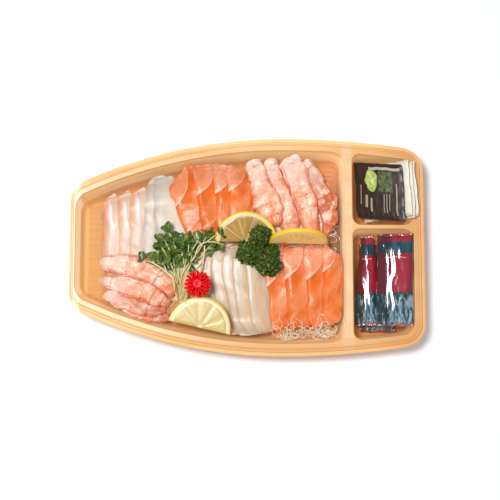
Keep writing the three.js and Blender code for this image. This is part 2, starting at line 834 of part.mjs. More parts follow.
function makeSprouts(pile) {
  const draw = draws(71);
  const { root, crown, reach } = SPROUTS;
  const heap = new Pile();
  heap.heights.set(pile.heights);
  const angle = Math.atan2(crown.y - root.y, crown.x - root.x);
  const run = crown.distanceTo(root);
  const core = makeSlab(
    heap,
    [0, 0.2, 0.4, 0.6, 0.8, 1, 1.15],
    [-1, -0.5, 0, 0.5, 1],
    (u, v) => {
      const half = u < 0.3 ? 5 : lerp(5, reach.x * 0.8, clamp((u - 0.3) / 0.6, 0, 1)) * (u > 1.1 ? 0.6 : 1);
      const along = root.clone().add(xy(Math.cos(angle), Math.sin(angle)).multiplyScalar(u * run));
      const plan = along.add(xy(-Math.sin(angle), Math.cos(angle)).multiplyScalar(v * half));
      return { plan, under: 0, thick: lerp(2.2, 5.5, clamp(u, 0, 1)) * (1 - 0.55 * v * v) };
    }
  );
  const pieces = [core];
  for (let i = 0; i < SPROUTS.leaves; i++) {
    const ring = Math.sqrt((i + 0.5) / SPROUTS.leaves);
    const spin = i * 2.4;
    const x = crown.x + reach.x * ring * Math.cos(spin) * 0.85;
    const y = crown.y + reach.y * ring * Math.sin(spin) * 0.85;
    const at = new THREE.Vector3(x, y, heap.top(x, y) - 1.4);
    pieces.push(makeLeaf(pile, at, spin + draw(-0.5, 0.5), draw(0.05, 0.5), draw(6.5, 8.5)));
  }
  for (const [x, y] of STRAY_SPROUTS) pieces.push(...makeStraySprout(pile, heap, xy(x, y), draw));
  const sprouts = fuse(pieces);
  pile.add(sprouts);
  return sprouts;
}

// A loose sprout: a stem out of the bunch that lies on the food, with two small leaves at its end.
function makeStraySprout(pile, heap, tip, draw) {
  const start = SPROUTS.root.clone().lerp(SPROUTS.crown, 0.62);
  const steps = 6;
  const spine = Array.from({ length: steps + 1 }, (_, i) => {
    const u = i / steps;
    const at = start.clone().lerp(tip, u);
    return new THREE.Vector3(at.x, at.y, heap.top(at.x, at.y) - 0.4);
  });
  clearStrip(pile, spine, STEM_WIDTH);
  const end = spine.at(-1);
  const heading = Math.atan2(tip.y - start.y, tip.x - start.x);
  const tipPoint = end.clone().add(new THREE.Vector3(0, 0, 0.3));
  const leaf = (turn) => makeLeaf(pile, tipPoint, heading + turn, 0.25, draw(6.5, 8));
  return [makeStrip(spine, STEM_WIDTH, 1.4), leaf(0.35), leaf(-0.45)];
}

const FLOWER = { x: -46.4, y: -36, radius: 13, rods: 13, hub: 6.5, height: 7 };

function makeFlower(pile) {
  const hub = new THREE.CylinderGeometry(FLOWER.hub * 0.55, FLOWER.hub, FLOWER.height, 12);
  hub.rotateX(Math.PI / 2);
  hub.translate(0, 0, FLOWER.height / 2);
  const pieces = [hub];
  for (let tier = 0; tier < 3; tier++) {
    const reach = FLOWER.radius - 2.6 * tier;
    for (let i = 0; i < FLOWER.rods - tier * 2; i++) {
      const rod = new THREE.BoxGeometry(reach, 1.7, 1.6);
      rod.translate(reach / 2, 0, 0);
      rod.rotateY(-0.16 - 0.28 * tier);
      rod.rotateZ((2 * Math.PI * (i + tier * 0.5)) / (FLOWER.rods - tier * 2));
      rod.translate(0, 0, 1.2 + 1.9 * tier);
      pieces.push(rod);
    }
  }
  const flower = fuse(pieces);
  flower.translate(FLOWER.x, FLOWER.y, 0);
  return settle(pile, flower);
}

// ---- Sachets -------------------------------------------------------------------------------------

const SEAL = 0.9; // thickness of a sachet's sealed edge

// A filled sachet: sealed flat round its edge and swollen within, leaning by lean about its length.
function makeSachet(pile, { x, y, length, width, fill, turn = 0, lean = 0, pitch = 0 }) {
  const us = [0, 0.08, 0.3, 0.5, 0.7, 0.92, 1];
  const vs = [-1, -0.72, 0, 0.72, 1];
  const rows = us.length;
  const positions = [];
  for (const side of [-1, 1]) {
    for (const u of us) {
      for (const v of vs) {
        const lengthwise = Math.sqrt(Math.max(0, 1 - (2.16 * (u - 0.5)) ** 4));
        const crosswise = Math.sqrt(Math.max(0, 1 - (v / 0.98) ** 2));
        const depth = SEAL + (fill - SEAL) * lengthwise * crosswise;
        positions.push((v * width) / 2, (u - 0.5) * length, (side * depth) / 2);
      }
    }
  }
  const wide = vs.length;
  const count = rows * wide;
  const indices = [];
  for (let i = 0; i + 1 < rows; i++) {
    for (let j = 0; j + 1 < wide; j++) {
      const a = i * wide + j;
      const b = a + wide;
      indices.push(a, b, b + 1, a, b + 1, a + 1);
      indices.push(a + count, b + count + 1, b + count, a + count, a + count + 1, b + count + 1);
    }
  }
  const edge = [];
  for (let j = 0; j + 1 < wide; j++) edge.push(j);
  for (let i = 0; i + 1 < rows; i++) edge.push(i * wide + wide - 1);
  for (let j = wide - 1; j > 0; j--) edge.push((rows - 1) * wide + j);
  for (let i = rows - 1; i > 0; i--) edge.push(i * wide);
  edge.forEach((a, k) => {
    const b = edge[(k + 1) % edge.length];
    indices.push(a, b, b + count, a, b + count, a + count);
  });
  const sachet = geometryFrom(positions, indices);
  sachet.rotateY(-lean);
  sachet.rotateX(pitch);
  sachet.rotateZ(turn);
  sachet.translate(x, y, 0);
  return settle(pile, sachet);
}

const WASABI_SACHETS = [
  { x: 140.4, y: 53, length: 52, width: 52, fill: 3, lean: 0.69, turn: -0.03 },
  { x: 137, y: 52.5, length: 53, width: 51, fill: 3, lean: 0.65, turn: -0.02 },
  { x: 133, y: 53, length: 53, width: 51, fill: 3, lean: 0.6, turn: 0.01 },
  { x: 127, y: 53, length: 54, width: 49, fill: 4, lean: 0.5, turn: -0.04 },
];
const SOY_SACHETS = [
  { x: 125, y: -36, length: 84, width: 26, fill: 6, turn: 0.02 },
  { x: 115.4, y: -31.5, length: 86, width: 22.5, fill: 10, lean: 0.1 },
  { x: 140.8, y: -32.5, length: 87, width: 26, fill: 11, lean: -0.08 },
];

// ---- The whole plate -----------------------------------------------------------------------------

const COLOURS = {
  tray: ["#e8b877", 0.45],
  clear: ["#f1dcc0", 0.2],
  daikon: ["#ece3d2", 0.5],
  bream: ["#ead8cc", 0.3],
  flounder: ["#e6ddd0", 0.3],
  salmon: ["#ee7f4b", 0.3],
  shrimp: ["#f2b49c", 0.35],
  lemon: ["#e9cf5b", 0.4],
  parsley: ["#2f5a22", 0.6],
  sprouts: ["#4a6b34", 0.55],
  flower: ["#e2131c", 0.35],
  wasabi: ["#2d2422", 0.35],
  paper: ["#d8cfbe", 0.5],
  soy: ["#7d2a3a", 0.25],
};

const plate = new THREE.Group();

function place(name, geometry, kind) {
  const [color, roughness] = COLOURS[kind];
  const material = new THREE.MeshStandardMaterial({ color, roughness, metalness: 0 });
  const mesh = new THREE.Mesh(geometry, material);
  mesh.name = name;
  plate.add(mesh);
  return geometry;
}

function placeAll(name, geometries, kind) {
  geometries.forEach((geometry, i) => place(`${name}_${i + 1}`, geometry, kind));
}

// Pieces go down in the order in which a hand would lay them.
const pile = new Pile();
pile.add(place("tray", makeTray(), "tray"));
pile.add(place("insert", makeInsert(), "clear"));
place("daikon_bed", makeBed(pile), "daikon");
placeAll("bream", makeFan(pile, breamSlices(), { thick: 4.2, skew: -3 }, 21), "bream");
placeAll("salmon_upper", makeFan(pile, SALMON_UPPER, { bow: 1.5, skew: 6 }, 22), "salmon");
placeAll("shrimp_upper", SHRIMPS_UPPER.map((shrimp) => makeShrimp(pile, shrimp)), "shrimp");
placeAll("shrimp_lower", SHRIMPS_LOWER.map((shrimp) => makeShrimp(pile, shrimp)), "shrimp");
place("lemon_upper", makeLemon(pile, { x: -1, y: 5.5, lean: 0.2 }), "lemon");
place("lemon_middle", makeLemon(pile, { x: 50.5, y: 5.2, lean: 1.1, roll: -0.24, radius: 28 }), "lemon");
placeAll("flounder", makeFan(pile, FLOUNDER, { thick: 4, bow: -1 }, 23), "flounder");
placeAll("salmon_lower", makeFan(pile, SALMON_LOWER, { bow: 1.5, skew: 3 }, 24), "salmon");
place("lemon_lower", makeLemon(pile, { x: -44.8, y: -77, turn: -0.23, lean: 0.05 }), "lemon");
place("sprouts", makeSprouts(pile), "sprouts");
place("parsley", makeParsley(pile), "parsley");
place("flower", makeFlower(pile), "flower");
WASABI_SACHETS.forEach((sachet, i) => {
  const kind = i === WASABI_SACHETS.length - 1 ? "wasabi" : "paper";
  place(`wasabi_sachet_${i + 1}`, makeSachet(pile, sachet), kind);
});
placeAll("soy_sachet", SOY_SACHETS.map((sachet) => makeSachet(pile, sachet)), "soy");

export default plate;
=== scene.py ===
"""Sashimi plate: sliced fish, shrimps and garnish on a boat-shaped tray, with sachets at its stern.

Lengths are in millimetres until a mesh is made, and Blender's metres after that. +X runs from bow to
stern, +Y to the far side and +Z up. The food is laid piece by piece on a heap that remembers how
high everything before it reaches.
"""

import math

import bmesh
import bpy
import numpy as np
from bpy.props import FloatProperty, FloatVectorProperty, IntProperty, PointerProperty
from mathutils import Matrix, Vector
from mathutils.geometry import tessellate_polygon


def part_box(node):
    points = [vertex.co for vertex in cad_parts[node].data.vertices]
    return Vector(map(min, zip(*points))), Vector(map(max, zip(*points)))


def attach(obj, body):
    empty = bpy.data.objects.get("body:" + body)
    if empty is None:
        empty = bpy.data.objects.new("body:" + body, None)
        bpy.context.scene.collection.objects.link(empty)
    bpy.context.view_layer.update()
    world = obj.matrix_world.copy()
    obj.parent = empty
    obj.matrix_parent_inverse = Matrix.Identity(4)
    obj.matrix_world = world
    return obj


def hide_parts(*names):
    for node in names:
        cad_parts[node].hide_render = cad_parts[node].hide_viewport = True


bl_info = {
    "name": "Sashimi Plate",
    "version": (1, 0, 0),
    "blender": (4, 5, 0),
    "location": "View3D > Sidebar > Sashimi",
    "description": "Builds a sashimi plate with its tray, fish, shrimps, garnish and sachets",
    "category": "Add Mesh",
}

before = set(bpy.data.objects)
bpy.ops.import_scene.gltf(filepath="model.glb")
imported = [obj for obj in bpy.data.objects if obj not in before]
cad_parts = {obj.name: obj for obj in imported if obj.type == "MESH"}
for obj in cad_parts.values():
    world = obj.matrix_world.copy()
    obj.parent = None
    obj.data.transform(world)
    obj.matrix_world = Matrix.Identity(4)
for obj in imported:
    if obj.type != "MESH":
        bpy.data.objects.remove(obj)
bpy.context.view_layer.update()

MM = 0.001
TAU = 2 * math.pi

# ---- Driving sizes -------------------------------------------------------------------------------

TRAY_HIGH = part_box("tray")[1] / MM
HALF_LENGTH = TRAY_HIGH.x
HALF_BEAM = TRAY_HIGH.y
RIM_TOP = TRAY_HIGH.z
BEAM_AT = 34.0  # x of the tray's widest place
FORE_RADIUS = 462.0  # side arcs seen from above, from the widest place to the bow
AFT_RADIUS = 784.0  # and to the stern
CORNER_RADIUS = 23.0
LIP_DROP = 2.6
SKIRT = 7.0
POCKET_FILLET = 5.0

INSERT_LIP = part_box("insert")[1].z / MM
INSERT_STEPS = 5
INSERT_FLOOR = 2.7
BED_DEPTH = 7.0

SOFT_AIR = 0.2  # air kept under a soft piece


def linear(code):
    """A colour written as #rrggbb, as the linear values that Blender works in."""
    parts = [int(code[i : i + 2], 16) / 255 for i in (1, 3, 5)]
    return [c / 12.92 if c <= 0.04045 else ((c + 0.055) / 1.055) ** 2.4 for c in parts]


def tint(name, code, about):
    return FloatVectorProperty(
        name=name, description=about, default=linear(code), subtype="COLOR", min=0, max=1
    )


def length(name, metres, about):
    return FloatProperty(name=name, description=about, default=metres, unit="LENGTH", min=0)


def power(name, amount, about):
    return FloatProperty(name=name, description=about, default=amount, min=0)


# ---- Settings ------------------------------------------------------------------------------------


class TraySettings(bpy.types.PropertyGroup):
    wood: tint("Wood", "#d9a76b", "Main colour of the printed wood")
    grain: tint("Grain", "#c98b52", "Colour of the printed grain lines")
    pale: tint("Pale Wood", "#e2b985", "Colour of the pale bands in the print")
    # The pockets' low wood colour is painted shade: darker and more orange than the rest of the print.
    low: tint("Low Wood", "#cc8040", "Colour of the print on the pockets' floors")
    # The sheet glow is the colour of painted light: emission that brightens the tray, most on its walls.
    glow: tint("Sheet Glow", "#f2cf96", "Colour of the light that comes through the walls")
    sheet: length("Sheet", 0.0015, "Thickness of the moulded sheet")
    insert_sheet: length("Insert Sheet", 0.0005, "Thickness of the clear insert")


class FishSettings(bpy.types.PropertyGroup):
    thickness: length("Slice Thickness", 0.0042, "Thickness of a slice of fish")
    salmon: tint("Salmon", "#e56d1b", "Deep orange of the salmon")
    # The salmon's paler flats are painted sheen.
    salmon_sheen: tint("Pale Salmon", "#e9925c", "Colour of the salmon's paler flats")
    salmon_fat: tint("Salmon Fat", "#f6d5c6", "Colour of the fat lines")
    bream: tint("Bream", "#dabdab", "Colour of the bream")
    bream_edge: tint("Bream Edge", "#e39a7c", "Colour of the bream's skin side")
    flounder: tint("Flounder", "#ceac8c", "Colour of the flounder")
    shrimp: tint("Shrimp", "#eaaa89", "Colour of the shrimp meat")
    shrimp_band: tint("Shrimp Bands", "#df6a48", "Colour of the bands between the rings")


class GarnishSettings(bpy.types.PropertyGroup):
    radish: tint("Radish", "#ecd6b4", "Colour of the radish shreds")
    strands: IntProperty(name="Shreds", description="Loose shreds in sight", default=250, min=1)
    rind: tint("Rind", "#f6cf2e", "Colour of the lemon rind")
    pith: tint("Pith", "#ebe2b0", "Colour of the lemon pith")
    flesh: tint("Lemon Flesh", "#cbb36c", "Colour of the lemon flesh")
    leaf: tint("Leaf", "#384f12", "Colour of the sprouts' leaves")
    stem: tint("Stem", "#d9b87a", "Colour of the sprouts' stems")
    parsley: tint("Parsley", "#1a2b03", "Colour of the parsley")
    flower: tint("Flower", "#f0060f", "Colour of the garnish flower")


class SachetSettings(bpy.types.PropertyGroup):
    dark: tint("Dark Film", "#33211a", "Ground colour of the paste sachets")
    paste: tint("Paste", "#b4c56a", "Colour of the printed paste")
    paper: tint("Paper", "#e2dccb", "Colour of the sachets' plain backs")
    red: tint("Red Band", "#9c1c30", "Colour of the red bands")
    teal: tint("Teal Band", "#1f5468", "Colour of the teal bands")


class StageSettings(bpy.types.PropertyGroup):
    floor: tint("Floor", "#f6f9fd", "Colour of the floor")
    lens: FloatProperty(name="Lens", description="Focal length in mm", default=76.0, min=1)
    key: power("Key Light", 13.8, "Power of the key light in W")
    sky: power("Sky", 0.36, "Strength of the even light")
    fill: power("Fill Light", 1.5, "Power of the low fill light in W")
    strip: power("Strip Light", 0.5, "Power of the strip light in W")


# ---- Shader expressions --------------------------------------------------------------------------


class Wire:
    """A shader output that takes part in Python arithmetic."""

    def __init__(self, finish, socket):
        self.finish = finish
        self.socket = socket

    def __add__(self, other):
        return self.finish.math("ADD", self, other)

    def __sub__(self, other):
        return self.finish.math("SUBTRACT", self, other)

    def __rsub__(self, other):
        return self.finish.math("SUBTRACT", other, self)

    def __mul__(self, other):
        return self.finish.math("MULTIPLY", self, other)

    def __pow__(self, other):
        return self.finish.math("POWER", self, other)

    def __rpow__(self, other):
        return self.finish.math("POWER", other, self)

    def __abs__(self):
        return self.finish.math("ABSOLUTE", self)

    __radd__ = __add__
    __rmul__ = __mul__


class Finish:
    """One material, with its nodes added as they are asked for."""

    def __init__(self, name):
        self.material = bpy.data.materials.new(name)
        self.material.use_nodes = True
        self.tree = self.material.node_tree
        self.tree.nodes.clear()

    def node(self, kind, settings=None, inputs=None, output=0):
        made = self.tree.nodes.new("ShaderNode" + kind)
        for key, value in (settings or {}).items():
            setattr(made, key, value)
        for key, value in (inputs or {}).items():
            if isinstance(value, Wire):
                self.tree.links.new(value.socket, made.inputs[key])
            else:
                made.inputs[key].default_value = value
        return Wire(self, made.outputs[output]) if made.outputs else None

    def math(self, operation, *values):
        return self.node("Math", {"operation": operation}, dict(enumerate(values)))

    def place(self, stretch=(1, 1, 1)):
        """The point in the object's own space, in metres, stretched along each axis."""
        point = self.node("TexCoord", output="Object")
        return self.node("VectorMath", {"operation": "MULTIPLY"}, {0: point, 1: stretch})

    def split(self, vector):
        """The three numbers of a vector."""
        first = self.node("SeparateXYZ", inputs={0: vector})
        return [Wire(self, output) for output in first.socket.node.outputs]

    def map(self, name):
        """The two numbers of a piece's own map."""
        return self.split(self.node("UVMap", {"uv_map": name}))[:2]

    def noise(self, vector, scale, detail=3.0, rough=0.5, bend=0.0):
        inputs = {"Vector": vector, "Scale": scale, "Detail": detail, "Roughness": rough, "Distortion": bend}
        return self.node("TexNoise", inputs=inputs)

    def cells(self, vector, scale, feature="F1"):
        inputs = {"Vector": vector, "Scale": scale}
        return self.node("TexVoronoi", {"feature": feature}, inputs, output="Distance")

    def join(self, x, y, z=0.0):
        return self.node("CombineXYZ", inputs={0: x, 1: y, 2: z})

    def step(self, value, low, high):
        """0 below low and 1 above high, with a soft turn between. low may be the larger."""
        inputs = {"Value": value, "From Min": low, "From Max": high}
        return self.node("MapRange", {"interpolation_type": "SMOOTHSTEP"}, inputs)

    def past(self, place, low, high):
        """A step between two places along one axis, given in millimetres."""
        return self.step(place, low * MM, high * MM)

    def between(self, value, low, high, soft=0.004):
        """1 between two values and 0 outside."""
        return self.step(value, low - soft, low + soft) * self.step(value, high + soft, high - soft)

    def mix(self, share, first, second):
        inputs = {0: share, 6: rgba(first), 7: rgba(second)}
        return self.node("Mix", {"data_type": "RGBA"}, inputs, output=2)

    def coats(self, colour, *coats):
        """A colour with others laid over it in turn. Each coat is its share and its colour."""
        for share, over in coats:
            colour = self.mix(share, colour, over)
        return colour

    def relief(self, height, depth, strength=1.0):
        """A normal from a height between 0 and 1 that stands for depth in millimetres."""
        return self.node("Bump", inputs={"Height": height, "Distance": depth * MM, "Strength": strength})

    def skin(self, colour, roughness, normal=None, **fixed):
        """The surface shader. fixed holds numbers that are the same all over the piece."""
        inputs = {"Base Color": rgba(colour), "Roughness": roughness}
        if normal is not None:
            inputs["Normal"] = normal
        inputs.update({key.replace("_", " "): value for key, value in fixed.items()})
        return self.node("BsdfPrincipled", inputs=inputs)

    def done(self, shader):
        self.node("OutputMaterial", inputs={"Surface": shader})
        return self.material


def rgba(colour):
    """A colour for a socket: a wire, three linear values, or text as #rrggbb."""
    if isinstance(colour, Wire):
        return colour
    return (*(linear(colour) if isinstance(colour, str) else colour[:3]), 1)


def shade(colour, factor):
    return [min(c * factor, 1) for c in colour[:3]]


# ---- Meshes --------------------------------------------------------------------------------------


class Solid:
    """Points and faces of a piece while it is being made, in millimetres."""

    def __init__(self, closed=True):
        self.closed = closed
        self.points = []
        self.faces = []
        self.maps = []
        self.count = 0

    def add(self, points, maps=None):
        """Adds points and returns the first one's number. maps gives each point's two map numbers."""
        start = self.count
        points = np.asarray(points, float).reshape(-1, 3)
        self.points.append(points)
        self.maps.append(np.zeros((len(points), 2)) if maps is None else np.asarray(maps, float))
        self.count += len(points)
        return start

    def rings(self, rings, maps=None):
        """A skin over rings of points. Returns where each ring starts. An open sheet starts outside."""
        starts = [self.add(ring, maps=None if maps is None else maps[k]) for k, ring in enumerate(rings)]
        count = len(rings[0])
        for a, b in zip(starts, starts[1:]):
            for i in range(count):
                j = (i + 1) % count
                self.faces.append([a + i, a + j, b + j, b + i])
        return starts

    def close(self, starts, rings, at=((0, 0), (0, 0))):
        """Closes the first and the last ring with a point in their middle. at maps the two points."""
        for end, place in zip((0, -1), at):
            count = len(rings[end])
            middle = self.add([np.mean(rings[end], 0)], maps=[place])
            self.faces += [[starts[end] + i, starts[end] + (i + 1) % count, middle] for i in range(count)]

    def plane(self, loops):
        """A flat face that looks up, inside the first loop and outside the others."""
        points = np.concatenate(self.points)
        ids = [start + i for start, count in loops for i in range(count)]
        rings = [[Vector(points[start + i]) for i in range(count)] for start, count in loops]
        for a, b, c in tessellate_polygon(rings):
            a, b, c = ids[a], ids[b], ids[c]
            p, q, r = points[a], points[b], points[c]
            up = (q[0] - p[0]) * (r[1] - p[1]) - (q[1] - p[1]) * (r[0] - p[0]) > 0
            self.faces.append([a, b, c] if up else [a, c, b])

    def mesh(self, name, map_name=None):
        made = bpy.data.meshes.new(name)
        points = np.concatenate(self.points)
        made.from_pydata((points * MM).tolist(), [], self.faces)
        if map_name:
            maps = np.concatenate(self.maps)
            corners = np.zeros(len(made.loops), np.int32)
            made.loops.foreach_get("vertex_index", corners)
            layer = made.uv_layers.new(name=map_name)
            layer.uv.foreach_set("vector", maps[corners].astype(np.float32).ravel())
        if self.closed:
            face_out(made)
        made.shade_smooth()
        return made


def face_out(mesh):
    made = bmesh.new()
    made.from_mesh(mesh)
    bmesh.ops.recalc_face_normals(made, faces=made.faces)
    made.to_mesh(mesh)
    made.free()


def triangles(faces):
    return np.array([[f[0], f[k], f[k + 1]] for f in faces for k in range(1, len(f) - 1)])


def add_object(name, data):
    thing = bpy.data.objects.new(name, data)
    bpy.context.scene.collection.objects.link(thing)
    return thing


def show(name, solid, material, nodes, slot, map_name=None, shell=None):
    """Puts a piece in the scene in place of its nodes. shell gives an open sheet its thickness in mm."""
    thing = add_object(name, solid.mesh(name, map_name))
    if shell:
        modifier = thing.modifiers.new("Shell", "SOLIDIFY")
        modifier.thickness = shell * MM
        modifier.offset = -1
        modifier.use_even_offset = True
        modifier.use_quality_normals = True
        bpy.context.view_layer.update()
        evaluated = thing.evaluated_get(bpy.context.evaluated_depsgraph_get())
        thing.data = bpy.data.meshes.new_from_object(evaluated)
        thing.modifiers.clear()
    thing.data.materials.clear()
    thing.data.materials.append(material)
    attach(thing, "root")
    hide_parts(*nodes)


def soft_step(x, low, high):
    """0 below low and 1 above high, with a soft turn between."""
    t = np.clip((x - low) / (high - low), 0, 1)
    return t * t * (3 - 2 * t)


def rounded(x, square, soft=0.5):
    """1 in the middle of -1 to 1 and 0 at both ends. It is fuller for a larger square."""
    return np.clip(1 - np.abs(x) ** square, 0, 1) ** soft


def crowded(count, share=1.0):
    """Places from -1 to 1, closer together at both ends by this share."""
    even = np.linspace(-1, 1, count)
    return np.sin(even * math.pi / 2) * share + even * (1 - share)


def circle(count):
    """Angles round a circle, and the point on it at each."""
    angles = np.linspace(0, TAU, count, endpoint=False)
    return angles, np.column_stack([np.cos(angles), np.sin(angles)])


WAVE_PACE = 0.75  # by how much of the first wave's pace each wave is quicker than the one before
WAVE_FADE = 0.6  # how strong each wave is as a share of the one before


def waves(seed, *axes, count=5):
    """A smooth wandering value near -1 to 1. Each axis is an array already divided by its scale."""
    rng = np.random.default_rng(seed)
    total = 0
    for k in range(count):
        pace = 1 + WAVE_PACE * k
        turn = rng.normal(size=len(axes))
        turn /= np.linalg.norm(turn)
        phase = pace * sum(t * a for t, a in zip(turn, axes)) * TAU + rng.uniform(0, TAU)
        total = total + WAVE_FADE**k * np.sin(phase)
    return total / (1 + WAVE_FADE)


# ---- The heap ------------------------------------------------------------------------------------


class Heap:
    """How high the pieces laid so far reach, on a fine square grid over the tray."""

    CELL = 0.5
    MARGIN = 4  # cells kept free round the tray
    BLOCK = 2_000_000  # about how many places are raised at once
    SAG = 0.03  # how far a soft sheet sinks in each round

    def __init__(self):
        self.columns = int(2 * HALF_LENGTH / self.CELL) + 2 * self.MARGIN
        self.rows = int(2 * HALF_BEAM / self.CELL) + 2 * self.MARGIN
        self.heights = np.zeros((self.rows, self.columns))
        self.wide = None

    def cell(self, x, y):
        column = (np.asarray(x) + HALF_LENGTH) / self.CELL + self.MARGIN
        row = (np.asarray(y) + HALF_BEAM) / self.CELL + self.MARGIN
        return np.clip(row, 1, self.rows - 2), np.clip(column, 1, self.columns - 2)

    def add(self, solid):
        """Raises the heap to the tops of a piece's faces."""
        points = np.concatenate(solid.points)
        corners = points[triangles(solid.faces)]
        sides = np.linalg.norm((corners - np.roll(corners, 1, axis=1))[..., :2], axis=2).max(1)
        parts = 2 ** np.ceil(np.log2(np.maximum(sides / self.CELL, 1))).astype(int)
        for n in np.unique(parts):
            i, j = np.meshgrid(np.arange(n + 1), np.arange(n + 1))
            inside = i + j <= n
            shares = np.stack([i[inside], j[inside], n - i[inside] - j[inside]], 1) / n
            chosen = corners[parts == n]
            for block in np.array_split(chosen, max(1, len(chosen) * len(shares) // self.BLOCK)):
                self.raise_to(np.einsum("sk,tkc->tsc", shares, block).reshape(-1, 3))
        self.wide = None

    def raise_to(self, points):
        row, column = self.cell(points[:, 0], points[:, 1])
        index = row.astype(int) * self.columns + column.astype(int)
        flat = self.heights.ravel()
        tops = np.maximum(points[:, 2], flat[index])
        order = np.argsort(tops)
        flat[index[order]] = tops[order]

    def top(self, x, y):
        """The highest surface within about a cell of each place."""
        if self.wide is None:
            wide = self.heights
            for axis in (0, 1):
                wide = np.maximum(wide, np.maximum(np.roll(wide, 1, axis), np.roll(wide, -1, axis)))
            self.wide = wide
        row, column = self.cell(x, y)
        i, j = row.astype(int), column.astype(int)
        a, b = row - i, column - j
        w = self.wide
        low = w[i, j] * (1 - b) + w[i, j + 1] * b
        high = w[i + 1, j] * (1 - b) + w[i + 1, j + 1] * b
        return low * (1 - a) + high * a

    def drape(self, x, y, rounds):
        """Heights at which a soft sheet over this grid of places comes to lie, stiffer with more rounds."""
        floor = self.top(x, y) + SOFT_AIR
        z = floor.copy()
        for _ in range(rounds):
            wide = np.pad(z, 1, mode="edge")
            mean = (wide[2:, 1:-1] + wide[:-2, 1:-1] + wide[1:-1, 2:] + wide[1:-1, :-2]) / 4
            z = np.maximum(floor, mean - self.SAG)
        return z

    def settle(self, points):
        """How far a stiff piece has to rise, or sink where negative, to rest here."""
        points = np.asarray(points)
        return float(np.max(self.top(points[:, 0], points[:, 1]) - points[:, 2])) + SOFT_AIR


heap = Heap()


# ---- Outlines seen from above --------------------------------------------------------------------


def edge_arc(x, inset):
    radius = FORE_RADIUS if x < BEAM_AT else AFT_RADIUS
    return radius - inset, HALF_BEAM - radius


def edge_height(x, edge):
    """y of an edge at x. An edge is a pair: "hull" and how far in it runs, or "line" and its y."""
    kind, amount = edge
    if kind == "line":
        return amount
    radius, centre = edge_arc(x, amount)
    return centre + math.sqrt(radius**2 - (x - BEAM_AT) ** 2)


def corner(wall, side, edge, radius, steps):
    """The rounded corner from an end wall to an edge. side is -1 at the bow and 1 at the stern."""
    kind, amount = edge
    x = wall - side * radius
    y, end = amount - radius, math.pi / 2
    if kind == "hull":
        arc, centre = edge_arc(x, amount)
        y = centre + math.sqrt((arc - radius) ** 2 - (x - BEAM_AT) ** 2)
        end = math.atan2(y - centre, x - BEAM_AT)
    angles = np.linspace(0 if side > 0 else math.pi, end, steps + 1)
    return np.stack([x + radius * np.cos(angles), y + radius * np.sin(angles)], 1)


class Outline:
    """A hollow's plan: end walls at x, edges far and near, and its corner radii.

    The near edge is given as it would be if it were mirrored to the far side.
    """

    def __init__(self, bow, stern, far, near, radii):
        self.bow, self.stern, self.far, self.near, self.radii = bow, stern, far, near, radii

    def moved(self, bow, stern=None, far=None, near=None):
        """The same outline with its walls moved inwards."""
        stern = bow if stern is None else stern
        far = bow if far is None else far
        near = far if near is None else near
        edges = []
        for (kind, amount), by in ((self.far, far), (self.near, near)):
            edges.append((kind, amount + by if kind == "hull" else amount - by))
        radii = [max(r - (far if i < 2 else near), 1.0) for i, r in enumerate(self.radii)]
        return Outline(self.bow + bow, self.stern - stern, *edges, radii)

    def half(self, edge, bow_radius, stern_radius, corner_steps, side_steps):
        stern = corner(self.stern, 1, edge, stern_radius, corner_steps)
        bow = corner(self.bow, -1, edge, bow_radius, corner_steps)[::-1]
        xs = np.linspace(stern[-1, 0], bow[0, 0], side_steps + 2)[1:-1]
        between = np.array([(x, edge_height(x, edge)) for x in xs])
        return np.concatenate([stern, between, bow])

    def ring(self, z, corner_steps=12, side_steps=36):
        """The outline as a ring of points at height z, anticlockwise from above."""
        far_bow, far_stern, near_bow, near_stern = self.radii
        far = self.half(self.far, far_bow, far_stern, corner_steps, side_steps)
        near = self.half(self.near, near_bow, near_stern, corner_steps, side_steps)
        near = near[::-1] * (1, -1)
        loop = np.concatenate([far, near])
        return np.column_stack([loop, np.full(len(loop), z)])


# ---- Tray ----------------------------------------------------------------------------------------

RIM_WIDTH = 11.8
LIP = {"bow": 1.9, "stern": 3.2, "far": 3.2}
SHEET_GLOW = 0.36  # painted light: strength of the emission that brightens the tray, most on its walls
GROOVE = 0.7  # depth of the groove that runs round the rim
HULL = Outline(-HALF_LENGTH, HALF_LENGTH, ("hull", 0), ("hull", 0), [CORNER_RADIUS] * 4)
SIDE = ("hull", RIM_WIDTH)
# Each pocket: its plan at the rim, and how far its walls lean in at the bow, the stern and the sides.
POCKETS = {
    "main": (Outline(-162.6, 93.5, SIDE, SIDE, [17, 15, 17, 15]), (2, 5.5, 5)),
    "square": (Outline(100, 157.6, SIDE, ("line", -20.3), [7, 13, 9, 9]), (2.5, 3, 2.5)),
    "long": (Outline(100, 157.6, ("line", 16.5), SIDE, [7, 11, 8, 14]), (2.5, 3, 2.5)),
}


def pocket_rings(plan, lean, floor):
    """From the rim down over the wall and on to the floor: how far in, by share of the lean, and z."""
    depth = RIM_TOP - floor
    steps = [(0, -0.95, 0), (0, -0.7, 0), (0.0, -0.3, -0.12), (0.02, -0.05, -0.45), (0.04, 0, -1.0)]
    rings = [(share, extra, RIM_TOP + down) for share, extra, down in steps]
    rings += [(0.04 + 0.96 * t, 0, RIM_TOP - 1 - t * (depth - 1 - POCKET_FILLET)) for t in (0.33, 0.66, 1)]
    for k in range(1, 7):
        angle = k / 6 * math.pi / 2
        run, rise = (POCKET_FILLET * (1 - turn(angle)) for turn in (math.cos, math.sin))
        rings.append((1, run * 0.9, floor + rise))
    rings.append((1, POCKET_FILLET + 1, floor))
    bow, stern, side = lean
    for share, extra, z in rings:
        yield plan.moved(bow * share + extra, stern * share + extra, side * share + extra).ring(z)


